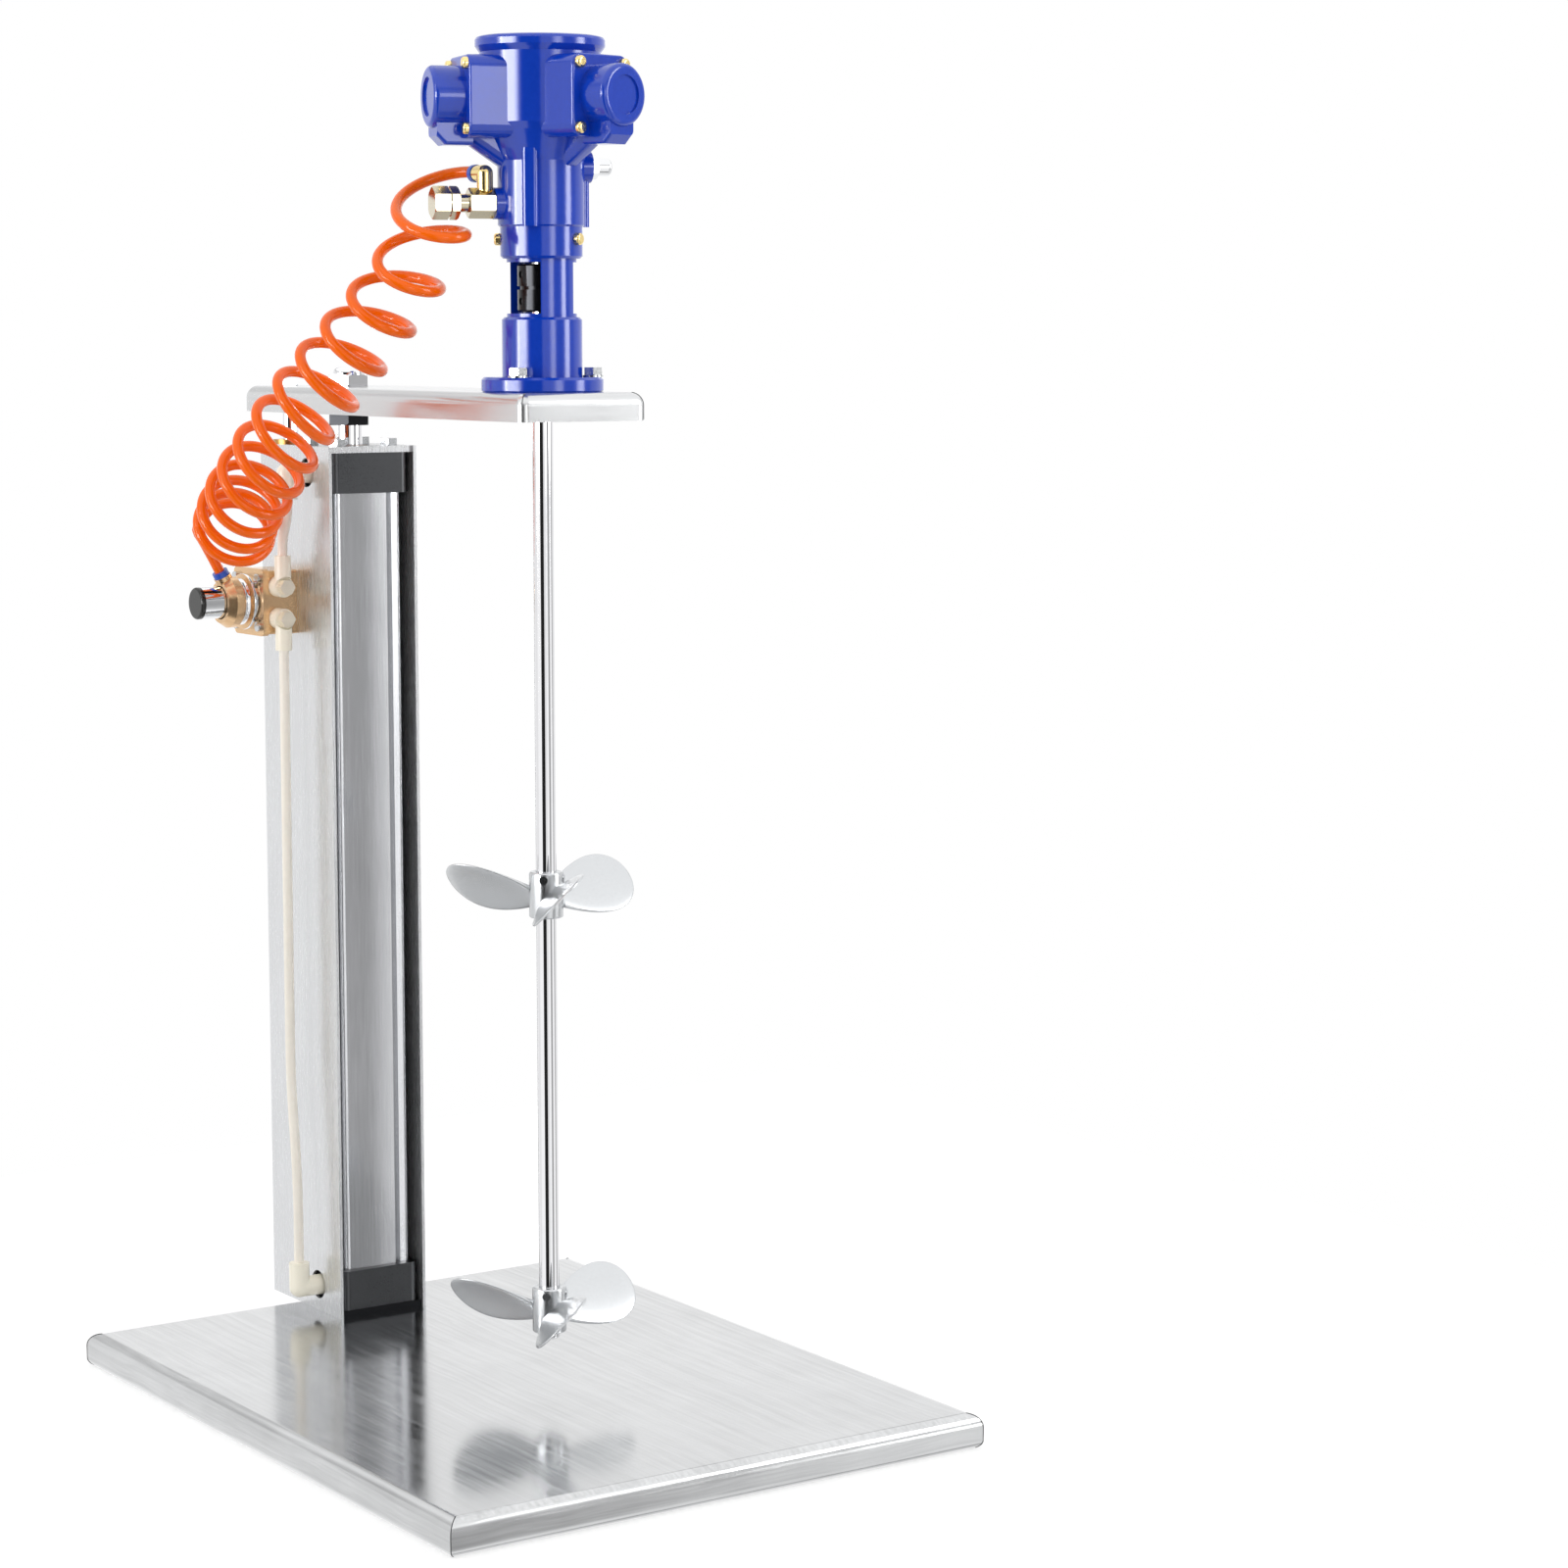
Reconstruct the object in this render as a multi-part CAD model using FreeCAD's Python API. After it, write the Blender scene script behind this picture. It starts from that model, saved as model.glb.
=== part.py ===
import FreeCAD, Part
import math
import os

# Pneumatic tank agitator on a lift stand.
# Millimetres, +Z up, front towards -Y. The origin is the middle of the base plate's underside.

Vector = FreeCAD.Vector
UP = Vector(0, 0, 1)

# Clearances
running_clearance = 0.05
seat_clearance = 0.05
hole_clearance = 0.3

# Base plate: a folded tray
base_width = 352.0
base_depth = 457.0
base_height = 20.4
base_sheet = 2.0
base_top_radius = 8.0
base_bottom_radius = 5.0
base_lip_width = 14.0
stiffener_width = 84.0
stiffener_sheet = 3.0
stiffener_end_gap = 0.5
stiffener_access_radius = 8.5

# Places in plan
shaft_y = -37.4
lift_y = 197.0

# Column: a folded channel that opens towards the front
column_width = 61.0
column_front_reach = 30.0
column_depth = 95.0
column_sheet = 2.0
column_fold_radius = 4.0
column_top_z = 569.0
column_plate_thickness = 4.0
port_hole_radius = 9.0
port_height_in_cap = 12.6

# Lift cylinder
cap_side = 54.0
cap_height = 25.0
cap_corner_radius = 5.0
cap_screw_inset = 9.0
cap_screw_depth = 10.0
bore_radius = 20.0
barrel_half_side = 23.0
barrel_crown = 1.4
barrel_corner_radius = 4.0
barrel_slot_offset = 14.0
barrel_slot_width = 3.6
barrel_slot_depth = 4.5
tie_rod_pitch = 19.0
tie_rod_radius = 2.5
tie_rod_depth = 7.0
port_radius = 4.9
port_depth = 12.0
lift_stroke = 400.0
piston_end_gap = 2.0
piston_height = 24.0
piston_seal_height = 5.0
piston_seal_depth = 3.0
piston_rod_radius = 8.0
rod_neck_radius = 7.0
rod_bush_wall = 3.0
rod_nut_flats = 24.0
rod_nut_height = 8.0
dome_nut_height = 12.0

# Guide rods beside the piston rod, behind the cylinder
guide_radius = 5.0
guide_end_radius = 3.0
guide_pitch = 40.0
guide_back_gap = 25.0
guide_overrun = 14.0
guide_bush_wall = 3.0
guide_bush_length = 30.0
guide_bush_flange = 3.0
guide_bracket_z = 504.0
guide_bracket_height = 12.0
guide_bracket_depth = 32.0
guide_nut_flats = 10.0
guide_nut_height = 4.0

# Arm: a folded lid that carries the motor
arm_width = 83.2
arm_front_y = -83.5
arm_back_y = 259.0
arm_bottom_z = 589.5
arm_height = 16.0
arm_sheet = 2.0
arm_top_radius = 7.0
arm_corner_radius = 5.0
arm_shaft_hole_radius = 13.0
block_width = 66.0
block_depth = 83.0

# Lantern between arm and motor
flange_radius = 35.0
flange_thickness = 8.5
lower_collar_radius = 23.0
lower_collar_height = 34.0
lantern_radius = 20.0
lantern_wall = 3.0
lantern_window_height = 29.0
lantern_window_angle = 115.0
lantern_gap = 2.0
upper_collar_radius = 23.5
upper_collar_height = 18.0
bolt_circle_radius = 29.0
bolt_radius = 3.0
bolt_head_flats = 10.0
bolt_head_height = 4.5
washer_thickness = 1.0
bolt_end_reach = 2.0
bolt_angles = (91.0, 211.0, 331.0)
collar_screw_radius = 2.0
collar_screw_head_radius = 3.5
collar_screw_head_height = 3.5
screw_dome_radius = 1.5
collar_screw_reach = 5.0
collar_screw_z_below_joint = 7.0
collar_screw_angles = (42.0, 147.0, 297.0)

# Radial-piston air motor
neck_radius = 24.8
neck_height = 37.0
flare_height = 19.0
barrel_body_radius = 34.5
crown_radius = 37.0
crown_height = 9.0
motor_height = 106.5
head_angles = (45.0, 165.0, 285.0)
head_axis_height = 72.0
head_side = 46.0
head_corner_radius = 7.0
head_seat_radius = 42.0
head_flange_thickness = 5.5
head_cap_radius = 17.5
head_cap_reach = 66.0
head_cap_edge = 3.0
head_pocket_radius = 11.0
head_pocket_depth = 1.2
head_screw_pitch = 36.0
head_screw_radius = 2.0
head_screw_head_radius = 3.4
head_screw_head_height = 3.2
head_screw_length = 12.0
duct_width = 15.0
duct_foot_height = 34.0
head_foot_drop = 4.0
head_foot_width = 19.0
head_foot_end = 63.0
head_foot_slope = 5.0
neck_rib_width = 9.0
neck_rib_reach = 3.0
bearing_outer_radius = 14.0
bearing_width = 8.0

# Air inlet on the motor's neck
inlet_angle = 165.0
inlet_height = 13.0
inlet_boss_radius = 9.0
inlet_body_flats = 15.0
inlet_body_start = 28.0
inlet_body_end = 43.0
inlet_bonnet_radius = 5.2
inlet_bonnet_end = 48.0
speed_stem_radius = 2.5
speed_knob_flats = 16.5
speed_knob_start = 49.0
speed_knob_end = 64.0
inlet_elbow_reach = 33.0
inlet_elbow_radius = 4.6
inlet_peg_radius = 3.6
inlet_peg_gap = 3.0
inlet_elbow_height = 17.0
inlet_elbow_turn = 90.0
inlet_elbow_length = 8.5
hose_socket_depth = 4.0
collet_radius = 5.0
collet_length = 3.5
silencer_angle = 345.0
silencer_height = 34.0

# Rotor
shaft_radius = 6.0
shaft_bottom_z = 50.0
shaft_joint_height = 59.0
coupling_radius = 14.0
coupling_height = 27.0
set_screw_radius = 2.0
set_screw_length = 7.0
output_shaft_top_height = 145.0
hub_radius = 10.0
hub_height = 27.0
hub_set_screw_radius = 2.5
propeller_bottoms = (54.0, 301.0)
blade_angles = (1.5, 121.5, 241.5)
blade_tip_radius = 62.0
blade_tip_angle = 36.0
blade_root_angle = 46.0
blade_rake = 8.0
blade_height_share = 0.45
hub_screw_height_share = 0.85
hub_screw_angles = (230.0, 320.0)
blade_thickness = 3.0

# Hand valve on the column's left face
valve_y = 231.0
valve_z = 471.5
valve_body_depth = 38.0
valve_body_height = 40.0
valve_body_reach = 20.0
valve_flange_thickness = 4.0
turret_base_radius = 17.3
turret_groove_radius = 14.2
turret_ring_radius = 16.0
turret_tip_radius = 13.0
turret_length = 20.0
valve_knob_radius = 10.0
valve_knob_length = 17.0
valve_knob_sink = 3.0
valve_knob_room = 8.5
valve_knob_clearance = 0.6
valve_cap_thickness = 3.0
valve_stem_radius = 4.0
valve_screw_pitch = 30.0
valve_screw_radius = 1.8
valve_screw_head_radius = 3.0
valve_screw_head_height = 2.5
valve_screw_length = 9.0
supply_port_radius = 5.7
supply_port_depth = 10.0
supply_port_inset = 10.0
supply_neck_radius = 5.5
supply_neck_inset = 6.5
supply_neck_sink = 5.5
supply_neck_length = 10.0
supply_neck_lean = 28.0
air_tube_radius = 3.1
tube_x = -44.0
tube_bend_run = 60.0
banjo_pitch = 20.0
banjo_radius = 6.5
banjo_thickness = 9.0
banjo_stub_radius = 5.2
banjo_stub_length = 13.0
banjo_bolt_flats = 9.0
banjo_bolt_head = 5.5
banjo_bolt_radius = 2.4
port_elbow_radius = 6.4
port_elbow_stub = 16.0

# Coiled air hose. The coil's middle line runs from the hand valve up to the elbow on the motor.
hose_radius = 3.25
coil_winding_radius = 22.8
coil_route = (
    (-75.0, 210.0, 513.0),
    (-86.0, 185.0, 524.5),
    (-92.0, 155.0, 542.0),
    (-93.0, 118.0, 567.0),
    (-89.0, 84.0, 597.0),
    (-79.0, 46.0, 629.0),
    (-71.0, 7.0, 661.0),
    (-67.0, -27.0, 690.0),
    (-50.0, -10.0, 724.0),
)

# The hose's first turns below the elbow go round the speed knob, with room between them
open_turns = 1.7
open_turn_step = 0.125
open_turn_angle = -14.0
open_first_corner = 0.27
elbow_run = 13.0
neck_run = 20.0
open_facing_elbow = (0.33, 0.30, -0.90)
open_facing_coil = (-0.19, 0.53, -0.83)

# Values worked out from the driving dimensions
column_front_y = lift_y - column_front_reach
column_back_y = column_front_y + column_depth
column_left_x = -column_width / 2
inside_width = column_width - 2 * column_sheet
inside_back_y = column_back_y - column_sheet
foot_top_z = base_height + column_plate_thickness
cap_top_z = column_top_z - column_plate_thickness
barrel_bottom_z = foot_top_z + cap_height
barrel_top_z = cap_top_z - cap_height
guide_y = inside_back_y - guide_back_gap + guide_radius / 2
guide_bottom_z = guide_bracket_z - lift_stroke - guide_overrun
arm_top_z = arm_bottom_z + arm_height
arm_roof_z = arm_top_z - arm_sheet
flange_top_z = arm_top_z + flange_thickness
window_bottom_z = flange_top_z + lower_collar_height + lantern_gap
upper_collar_z = window_bottom_z + lantern_window_height + lantern_gap
neck_bottom_z = upper_collar_z + upper_collar_height
neck_top_z = neck_bottom_z + neck_height
barrel_z = neck_top_z + flare_height
motor_top_z = neck_bottom_z + motor_height
crown_bottom_z = motor_top_z - crown_height
head_z = neck_bottom_z + head_axis_height
shaft_top_z = arm_top_z + shaft_joint_height
inlet_z = neck_bottom_z + inlet_height
head_foot_bottom_z = head_z - head_side / 2 - head_foot_drop
piston_bottom_z = barrel_bottom_z + piston_end_gap
valve_left_x = column_left_x - valve_body_reach
turret_x = valve_left_x - valve_flange_thickness
turret_tip_x = turret_x - turret_length
valve_front_y = valve_y - valve_body_depth / 2
tube_y = valve_front_y - banjo_thickness / 2 - 3.0


def box(x0, x1, y0, y1, z0, z1):
    return Part.makeBox(x1 - x0, y1 - y0, z1 - z0, Vector(x0, y0, z0))


def post(x, y, z0, z1, radius):
    return Part.makeCylinder(radius, z1 - z0, Vector(x, y, z0), UP)


def rod_between(start, end, radius):
    along = end.sub(start)
    return Part.makeCylinder(radius, along.Length, start, along)


def hexagon(x, y, z0, height, flats):
    """A hexagonal prism along Z with its corners broken at both ends."""
    corner = flats / math.sqrt(3)
    points = []
    for k in range(7):
        turn = math.radians(60 * k)
        points.append(Vector(x + corner * math.cos(turn), y + corner * math.sin(turn), z0))
    prism = Part.Face(Part.makePolygon(points)).extrude(Vector(0, 0, height))
    bevel = 0.6 * (corner - flats / 2) + 0.01
    rim = Part.makeCone(corner - bevel, corner, bevel, Vector(x, y, z0), UP)
    middle = post(x, y, z0 + bevel, z0 + height - bevel, corner)
    top = Part.makeCone(corner, corner - bevel, bevel, Vector(x, y, z0 + height - bevel), UP)
    return prism.common(rim.fuse([middle, top]))


def revolve(profile, x, y):
    """A solid of revolution about a vertical axis from (radius, z) points."""
    points = [Vector(x + r, y, z) for r, z in profile]
    face = Part.Face(Part.makePolygon(points + [points[0]]))
    return face.revolve(Vector(x, y, 0), UP, 360)


def round_edges(shape, radius, chosen):
    edges = [edge for edge in shape.Edges if chosen(edge)]
    return shape.makeFillet(radius, edges)


def is_upright(edge):
    low, high = edge.BoundBox.ZMin, edge.BoundBox.ZMax
    flat = edge.BoundBox.XLength + edge.BoundBox.YLength
    return high - low > 1.0 and flat < 0.01


def is_level_at(edge, z):
    return abs(edge.BoundBox.ZMin - z) < 0.01 and abs(edge.BoundBox.ZMax - z) < 0.01


def turned(shape, angle):
    """A copy turned about the motor's axis; an angle of 0 points along +X."""
    copy = shape.copy()
    copy.rotate(Vector(0, shaft_y, 0), UP, angle)
    return copy


def laid_out(shape, x, y, z):
    """A copy of a piece made upright at the origin, laid along +X from the given place."""
    copy = shape.copy()
    copy.rotate(Vector(0, 0, 0), Vector(0, 1, 0), 90)
    copy.translate(Vector(x, y, z))
    return copy


def write(name, shape):
    shape.exportStep("parts/" + name + ".step")


def base_plate():
    half_x, half_y = base_width / 2, base_depth / 2
    outer = box(-half_x, half_x, -half_y, half_y, 0, base_height)
    outer = round_edges(outer, base_top_radius, lambda e: is_level_at(e, base_height))
    outer = round_edges(outer, base_bottom_radius, lambda e: is_level_at(e, 0))
    wall = base_sheet
    inner = box(-half_x + wall, half_x - wall, -half_y + wall, half_y - wall, wall, base_height - wall)
    inner = round_edges(inner, base_top_radius - wall, lambda e: is_level_at(e, base_height - wall))
    inner = round_edges(inner, base_bottom_radius - wall, lambda e: is_level_at(e, wall))
    reach_x, reach_y = half_x - base_lip_width, half_y - base_lip_width
    mouth = box(-reach_x, reach_x, -reach_y, reach_y, -1, base_sheet + 1)
    holes = [post(x, y, base_height - 2 * wall, base_height + 1, bolt_radius + hole_clearance)
             for x, y in cap_screw_places()]
    return outer.cut([inner, mouth] + holes)


def base_stiffener():
    """The folded channel under the tray's middle that carries the column, with holes to reach its screws."""
    half = stiffener_width / 2
    reach = base_depth / 2 - base_lip_width - stiffener_end_gap
    top_z = base_height - base_sheet
    outer = box(-half, half, -reach, reach, 0, top_z)
    outer = round_edges(outer, stiffener_sheet, lambda e: is_level_at(e, 0) and e.BoundBox.YLength > reach)
    wall = stiffener_sheet
    inner = box(-half + wall, half - wall, -reach - 1, reach + 1, wall, top_z + 1)
    access = [post(x, y, -1, wall + 1, stiffener_access_radius) for x, y in cap_screw_places()]
    return outer.cut([inner] + access)


def cap_screw_places():
    reach = cap_side / 2 - cap_screw_inset
    return [(x, lift_y + y) for x in (-reach, reach) for y in (-reach, reach)]


def foot_screws():
    solids = []
    for x, y in cap_screw_places():
        head_top = base_height - base_sheet
        head = hexagon(x, y, head_top - bolt_head_height, bolt_head_height, bolt_head_flats)
        shank = post(x, y, head_top, foot_top_z + cap_screw_depth, bolt_radius)
        solids.append(head.fuse(shank))
    return Part.makeCompound(solids)


def channel_section(width, front_y, back_y, radius, z0, z1):
    solid = box(-width / 2, width / 2, front_y, back_y, z0, z1)
    return round_edges(solid, radius, lambda e: is_upright(e) and e.BoundBox.YMin > back_y - 0.01)


def column_channel():
    outer = channel_section(column_width, column_front_y, column_back_y, column_fold_radius,
                            base_height, column_top_z)
    inner = channel_section(inside_width, column_front_y - 5, inside_back_y,
                            column_fold_radius - column_sheet, base_height - 1, column_top_z + 1)
    wall_x = column_left_x - 1
    holes = []
    for z in port_heights():
        holes.append(rod_between(Vector(wall_x, lift_y, z), Vector(wall_x + column_sheet + 2, lift_y, z),
                                 port_hole_radius))
    return outer.cut([inner] + holes)


def port_heights():
    return (foot_top_z + port_height_in_cap, cap_top_z - port_height_in_cap)


def channel_plate(z0, z1):
    """A plate that fills the channel's section, with the channel's own inner corners."""
    return channel_section(inside_width, column_front_y + column_sheet, inside_back_y,
                           column_fold_radius - column_sheet, z0, z1)


def column_foot_plate():
    holes = [post(x, y, base_height - 1, foot_top_z + 1, bolt_radius + hole_clearance)
             for x, y in cap_screw_places()]
    return channel_plate(base_height, foot_top_z).cut(holes)


def guide_places():
    return [(-guide_pitch / 2, guide_y), (guide_pitch / 2, guide_y)]


def column_top_plate():
    plate = channel_plate(cap_top_z, column_top_z)
    low, high = cap_top_z - 1, column_top_z + 1
    holes = [post(0, lift_y, low, high, piston_rod_radius + rod_bush_wall + 1.0)]
    for x, y in guide_places():
        holes.append(post(x, y, low, high, guide_radius + guide_bush_wall + seat_clearance))
    for x, y in cap_screw_places():
        holes.append(post(x, y, low, high, bolt_radius + hole_clearance))
    return plate.cut(holes)


def top_plate_screws():
    solids = []
    for x, y in cap_screw_places():
        head = hexagon(x, y, column_top_z, bolt_head_height, bolt_head_flats)
        shank = post(x, y, cap_top_z - cap_screw_depth, column_top_z, bolt_radius)
        solids.append(head.fuse(shank))
    return Part.makeCompound(solids)


def cap_block(z0):
    half = cap_side / 2
    block = box(-half, half, lift_y - half, lift_y + half, z0, z0 + cap_height)
    return round_edges(block, cap_corner_radius, is_upright)


def tie_rod_places():
    return [(x, lift_y + y) for x in (-tie_rod_pitch, tie_rod_pitch) for y in (-tie_rod_pitch, tie_rod_pitch)]


def screw_bores(places, z0, z1):
    return [post(x, y, z0, z1, bolt_radius + seat_clearance) for x, y in places]


def port_bore(z):
    start = Vector(-cap_side / 2 - 1, lift_y, z)
    return rod_between(start, start.add(Vector(port_depth + 1, 0, 0)), port_radius + seat_clearance)


def cylinder_bottom_cap():
    cuts = screw_bores(cap_screw_places(), foot_top_z - 1, foot_top_z + cap_screw_depth + 1)
    low, high = barrel_bottom_z - tie_rod_depth - 1, barrel_bottom_z + 1
    cuts += [post(x, y, low, high, tie_rod_radius + seat_clearance) for x, y in tie_rod_places()]
    cuts.append(port_bore(port_heights()[0]))
    cuts.append(post(0, lift_y, port_heights()[0], barrel_bottom_z + 1, bore_radius / 2))
    return cap_block(foot_top_z).cut(cuts)


def cylinder_top_cap():
    cuts = screw_bores(cap_screw_places(), cap_top_z - cap_screw_depth - 1, cap_top_z + 1)
    low, high = barrel_top_z - 1, barrel_top_z + tie_rod_depth + 1
    cuts += [post(x, y, low, high, tie_rod_radius + seat_clearance) for x, y in tie_rod_places()]
    cuts.append(port_bore(port_heights()[1]))
    cuts.append(post(0, lift_y, barrel_top_z - 1, cap_top_z + 1,
                     piston_rod_radius + rod_bush_wall + seat_clearance))
    return cap_block(barrel_top_z).cut(cuts)


def cylinder_barrel():
    """The extruded barrel: four slightly crowned faces, each with a sensor slot near one corner."""
    half, crown = barrel_half_side, barrel_half_side + barrel_crown
    corners = [Vector(-half, -half, 0), Vector(half, -half, 0), Vector(half, half, 0), Vector(-half, half, 0)]
    middles = [Vector(0, -crown, 0), Vector(crown, 0, 0), Vector(0, crown, 0), Vector(-crown, 0, 0)]
    outline = [Part.Arc(corners[i], middles[i], corners[(i + 1) % 4]).toShape() for i in range(4)]
    length = barrel_top_z - barrel_bottom_z
    body = Part.Face(Part.Wire(outline)).extrude(Vector(0, 0, length))
    body = round_edges(body, barrel_corner_radius, is_upright)
    slot = box(barrel_slot_offset - barrel_slot_width / 2, barrel_slot_offset + barrel_slot_width / 2,
               -crown - 1, -crown + barrel_slot_depth, -1, length + 1)
    cuts = []
    for quarter in range(4):
        one = slot.copy()
        one.rotate(Vector(0, 0, 0), UP, 90 * quarter)
        cuts.append(one)
    body = body.cut(cuts)
    body.translate(Vector(0, lift_y, barrel_bottom_z))
    bores = [post(0, lift_y, barrel_bottom_z - 1, barrel_top_z + 1, bore_radius)]
    for x, y in tie_rod_places():
        bores.append(post(x, y, barrel_bottom_z - 1, barrel_top_z + 1, tie_rod_radius + seat_clearance))
    return body.cut(bores)


def tie_rods():
    low, high = barrel_bottom_z - tie_rod_depth, barrel_top_z + tie_rod_depth
    return Part.makeCompound([post(x, y, low, high, tie_rod_radius) for x, y in tie_rod_places()])


def piston():
    radius = bore_radius - running_clearance
    groove_bottom = piston_bottom_z + (piston_height - piston_seal_height) / 2
    body = post(0, lift_y, piston_bottom_z, piston_bottom_z + piston_height, radius)
    groove = post(0, lift_y, groove_bottom, groove_bottom + piston_seal_height, radius + 1)
    core = post(0, lift_y, groove_bottom, groove_bottom + piston_seal_height, radius - piston_seal_depth)
    eye = post(0, lift_y, piston_bottom_z - 1, piston_bottom_z + piston_height + 1,
               piston_rod_radius + seat_clearance)
    return body.cut([groove.cut(core), eye])


def piston_seal():
    groove_bottom = piston_bottom_z + (piston_height - piston_seal_height) / 2
    inner = bore_radius - running_clearance - piston_seal_depth + seat_clearance
    ring = post(0, lift_y, groove_bottom, groove_bottom + piston_seal_height, bore_radius - running_clearance)
    return ring.cut(post(0, lift_y, groove_bottom - 1, groove_bottom + piston_seal_height + 1, inner))


def piston_rod():
    """The ground rod, with a thinner threaded end that goes through the arm's roof."""
    body = post(0, lift_y, piston_bottom_z, arm_bottom_z, piston_rod_radius)
    neck = post(0, lift_y, arm_bottom_z, arm_top_z + dome_nut_height / 2, rod_neck_radius)
    return body.fuse(neck)


def rod_bush():
    outer = post(0, lift_y, barrel_top_z, column_top_z, piston_rod_radius + rod_bush_wall)
    bore = post(0, lift_y, barrel_top_z - 1, column_top_z + 1, piston_rod_radius + running_clearance)
    return outer.cut(bore)


def rod_lock_nut():
    nut = hexagon(0, lift_y, arm_bottom_z - rod_nut_height, rod_nut_height, rod_nut_flats)
    return nut.cut(post(0, lift_y, 0, arm_bottom_z + 1, piston_rod_radius + seat_clearance))


def dome_nut():
    """The closed nut on top of the arm, with its rounded crown."""
    base = hexagon(0, lift_y, arm_top_z, dome_nut_height * 0.6, rod_nut_flats)
    top_z = arm_top_z + dome_nut_height
    crown_radius_here = rod_nut_flats * 0.42
    crown = post(0, lift_y, arm_top_z + dome_nut_height * 0.3, top_z, crown_radius_here)
    crown = round_edges(crown, dome_nut_height * 0.35, lambda e: is_level_at(e, top_z))
    hole = post(0, lift_y, arm_top_z - 1, arm_top_z + dome_nut_height / 2,
                rod_neck_radius + seat_clearance)
    return base.fuse(crown).cut(hole)


def guide_rods():
    solids = []
    for x, y in guide_places():
        body = post(x, y, guide_bottom_z, arm_bottom_z, guide_radius)
        end = post(x, y, arm_bottom_z, arm_top_z + guide_nut_height, guide_end_radius)
        solids.append(body.fuse(end))
    return Part.makeCompound(solids)


def guide_bushes():
    solids = []
    for x, y in guide_places():
        low = column_top_z - guide_bush_length + guide_bush_flange
        body = post(x, y, low, column_top_z, guide_radius + guide_bush_wall)
        high = column_top_z + guide_bush_flange
        flange = post(x, y, column_top_z, high, guide_radius + 2 * guide_bush_wall)
        bore = post(x, y, low - 1, high + 1, guide_radius + running_clearance)
        solids.append(body.fuse(flange).cut(bore))
    return Part.makeCompound(solids)


def guide_bracket():
    half = inside_width / 2
    top_z = guide_bracket_z + guide_bracket_height
    block = box(-half, half, inside_back_y - guide_bracket_depth, inside_back_y, guide_bracket_z, top_z)
    block = round_edges(block, column_fold_radius - column_sheet,
                        lambda e: is_upright(e) and e.BoundBox.YMin > inside_back_y - 0.01)
    bores = [post(x, y, guide_bracket_z - 1, top_z + 1, guide_radius + running_clearance)
             for x, y in guide_places()]
    return block.cut(bores)


def guide_nuts():
    solids = []
    for x, y in guide_places():
        nut = hexagon(x, y, arm_top_z, guide_nut_height, guide_nut_flats)
        solids.append(nut.cut(post(x, y, 0, arm_top_z + 20, guide_end_radius + seat_clearance)))
    return Part.makeCompound(solids)


def bolt_places():
    places = []
    for angle in bolt_angles:
        turn = math.radians(angle)
        places.append((bolt_circle_radius * math.cos(turn), shaft_y + bolt_circle_radius * math.sin(turn)))
    return places


def arm():
    half = arm_width / 2
    outer = box(-half, half, arm_front_y, arm_back_y, arm_bottom_z, arm_top_z)
    outer = round_edges(outer, arm_corner_radius, is_upright)
    outer = round_edges(outer, arm_top_radius, lambda e: abs(e.BoundBox.ZMax - arm_top_z) < 0.01
                        and e.BoundBox.ZLength < 0.01)
    wall = arm_sheet
    inner = box(-half + wall, half - wall, arm_front_y + wall, arm_back_y - wall, arm_bottom_z - 20,
                arm_roof_z)
    inner = round_edges(inner, arm_corner_radius - wall, is_upright)
    inner = round_edges(inner, arm_top_radius - wall, lambda e: is_level_at(e, arm_roof_z))
    low, high = arm_roof_z - 1, arm_top_z + 1
    holes = [post(0, shaft_y, low, high, arm_shaft_hole_radius)]
    holes.append(post(0, lift_y, low, high, rod_neck_radius + seat_clearance))
    for x, y in bolt_places():
        holes.append(post(x, y, low, high, bolt_radius + hole_clearance))
    for x, y in guide_places():
        holes.append(post(x, y, low, high, guide_end_radius + seat_clearance))
    return outer.cut([inner] + holes)


def rod_block():
    """The block inside the arm that clamps the piston rod and both guide rods."""
    back = arm_back_y - arm_top_radius
    block = box(-block_width / 2, block_width / 2, back - block_depth, back, arm_bottom_z, arm_roof_z)
    holes = [post(0, lift_y, arm_bottom_z - 1, arm_roof_z + 1, rod_neck_radius + seat_clearance)]
    for x, y in guide_places():
        holes.append(post(x, y, arm_bottom_z - 1, arm_roof_z + 1, guide_end_radius + seat_clearance))
    return block.cut(holes)


def flange_bolts():
    solids = []
    low = arm_roof_z - washer_thickness - bolt_head_height - bolt_end_reach
    for x, y in bolt_places():
        head = hexagon(x, y, flange_top_z + washer_thickness, bolt_head_height, bolt_head_flats)
        shank = post(x, y, low, flange_top_z + washer_thickness, bolt_radius)
        solids.append(head.fuse(shank))
    return Part.makeCompound(solids)


def flange_washers():
    solids = []
    for x, y in bolt_places():
        for z in (flange_top_z, arm_roof_z - washer_thickness):
            ring = post(x, y, z, z + washer_thickness, bolt_head_flats * 0.58)
            solids.append(ring.cut(post(x, y, z - 1, z + 2, bolt_radius + seat_clearance)))
    return Part.makeCompound(solids)


def flange_nuts():
    solids = []
    low = arm_roof_z - washer_thickness - bolt_head_height
    for x, y in bolt_places():
        nut = hexagon(x, y, low, bolt_head_height, bolt_head_flats)
        solids.append(nut.cut(post(x, y, low - 1, low + 20, bolt_radius + seat_clearance)))
    return Part.makeCompound(solids)


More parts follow.
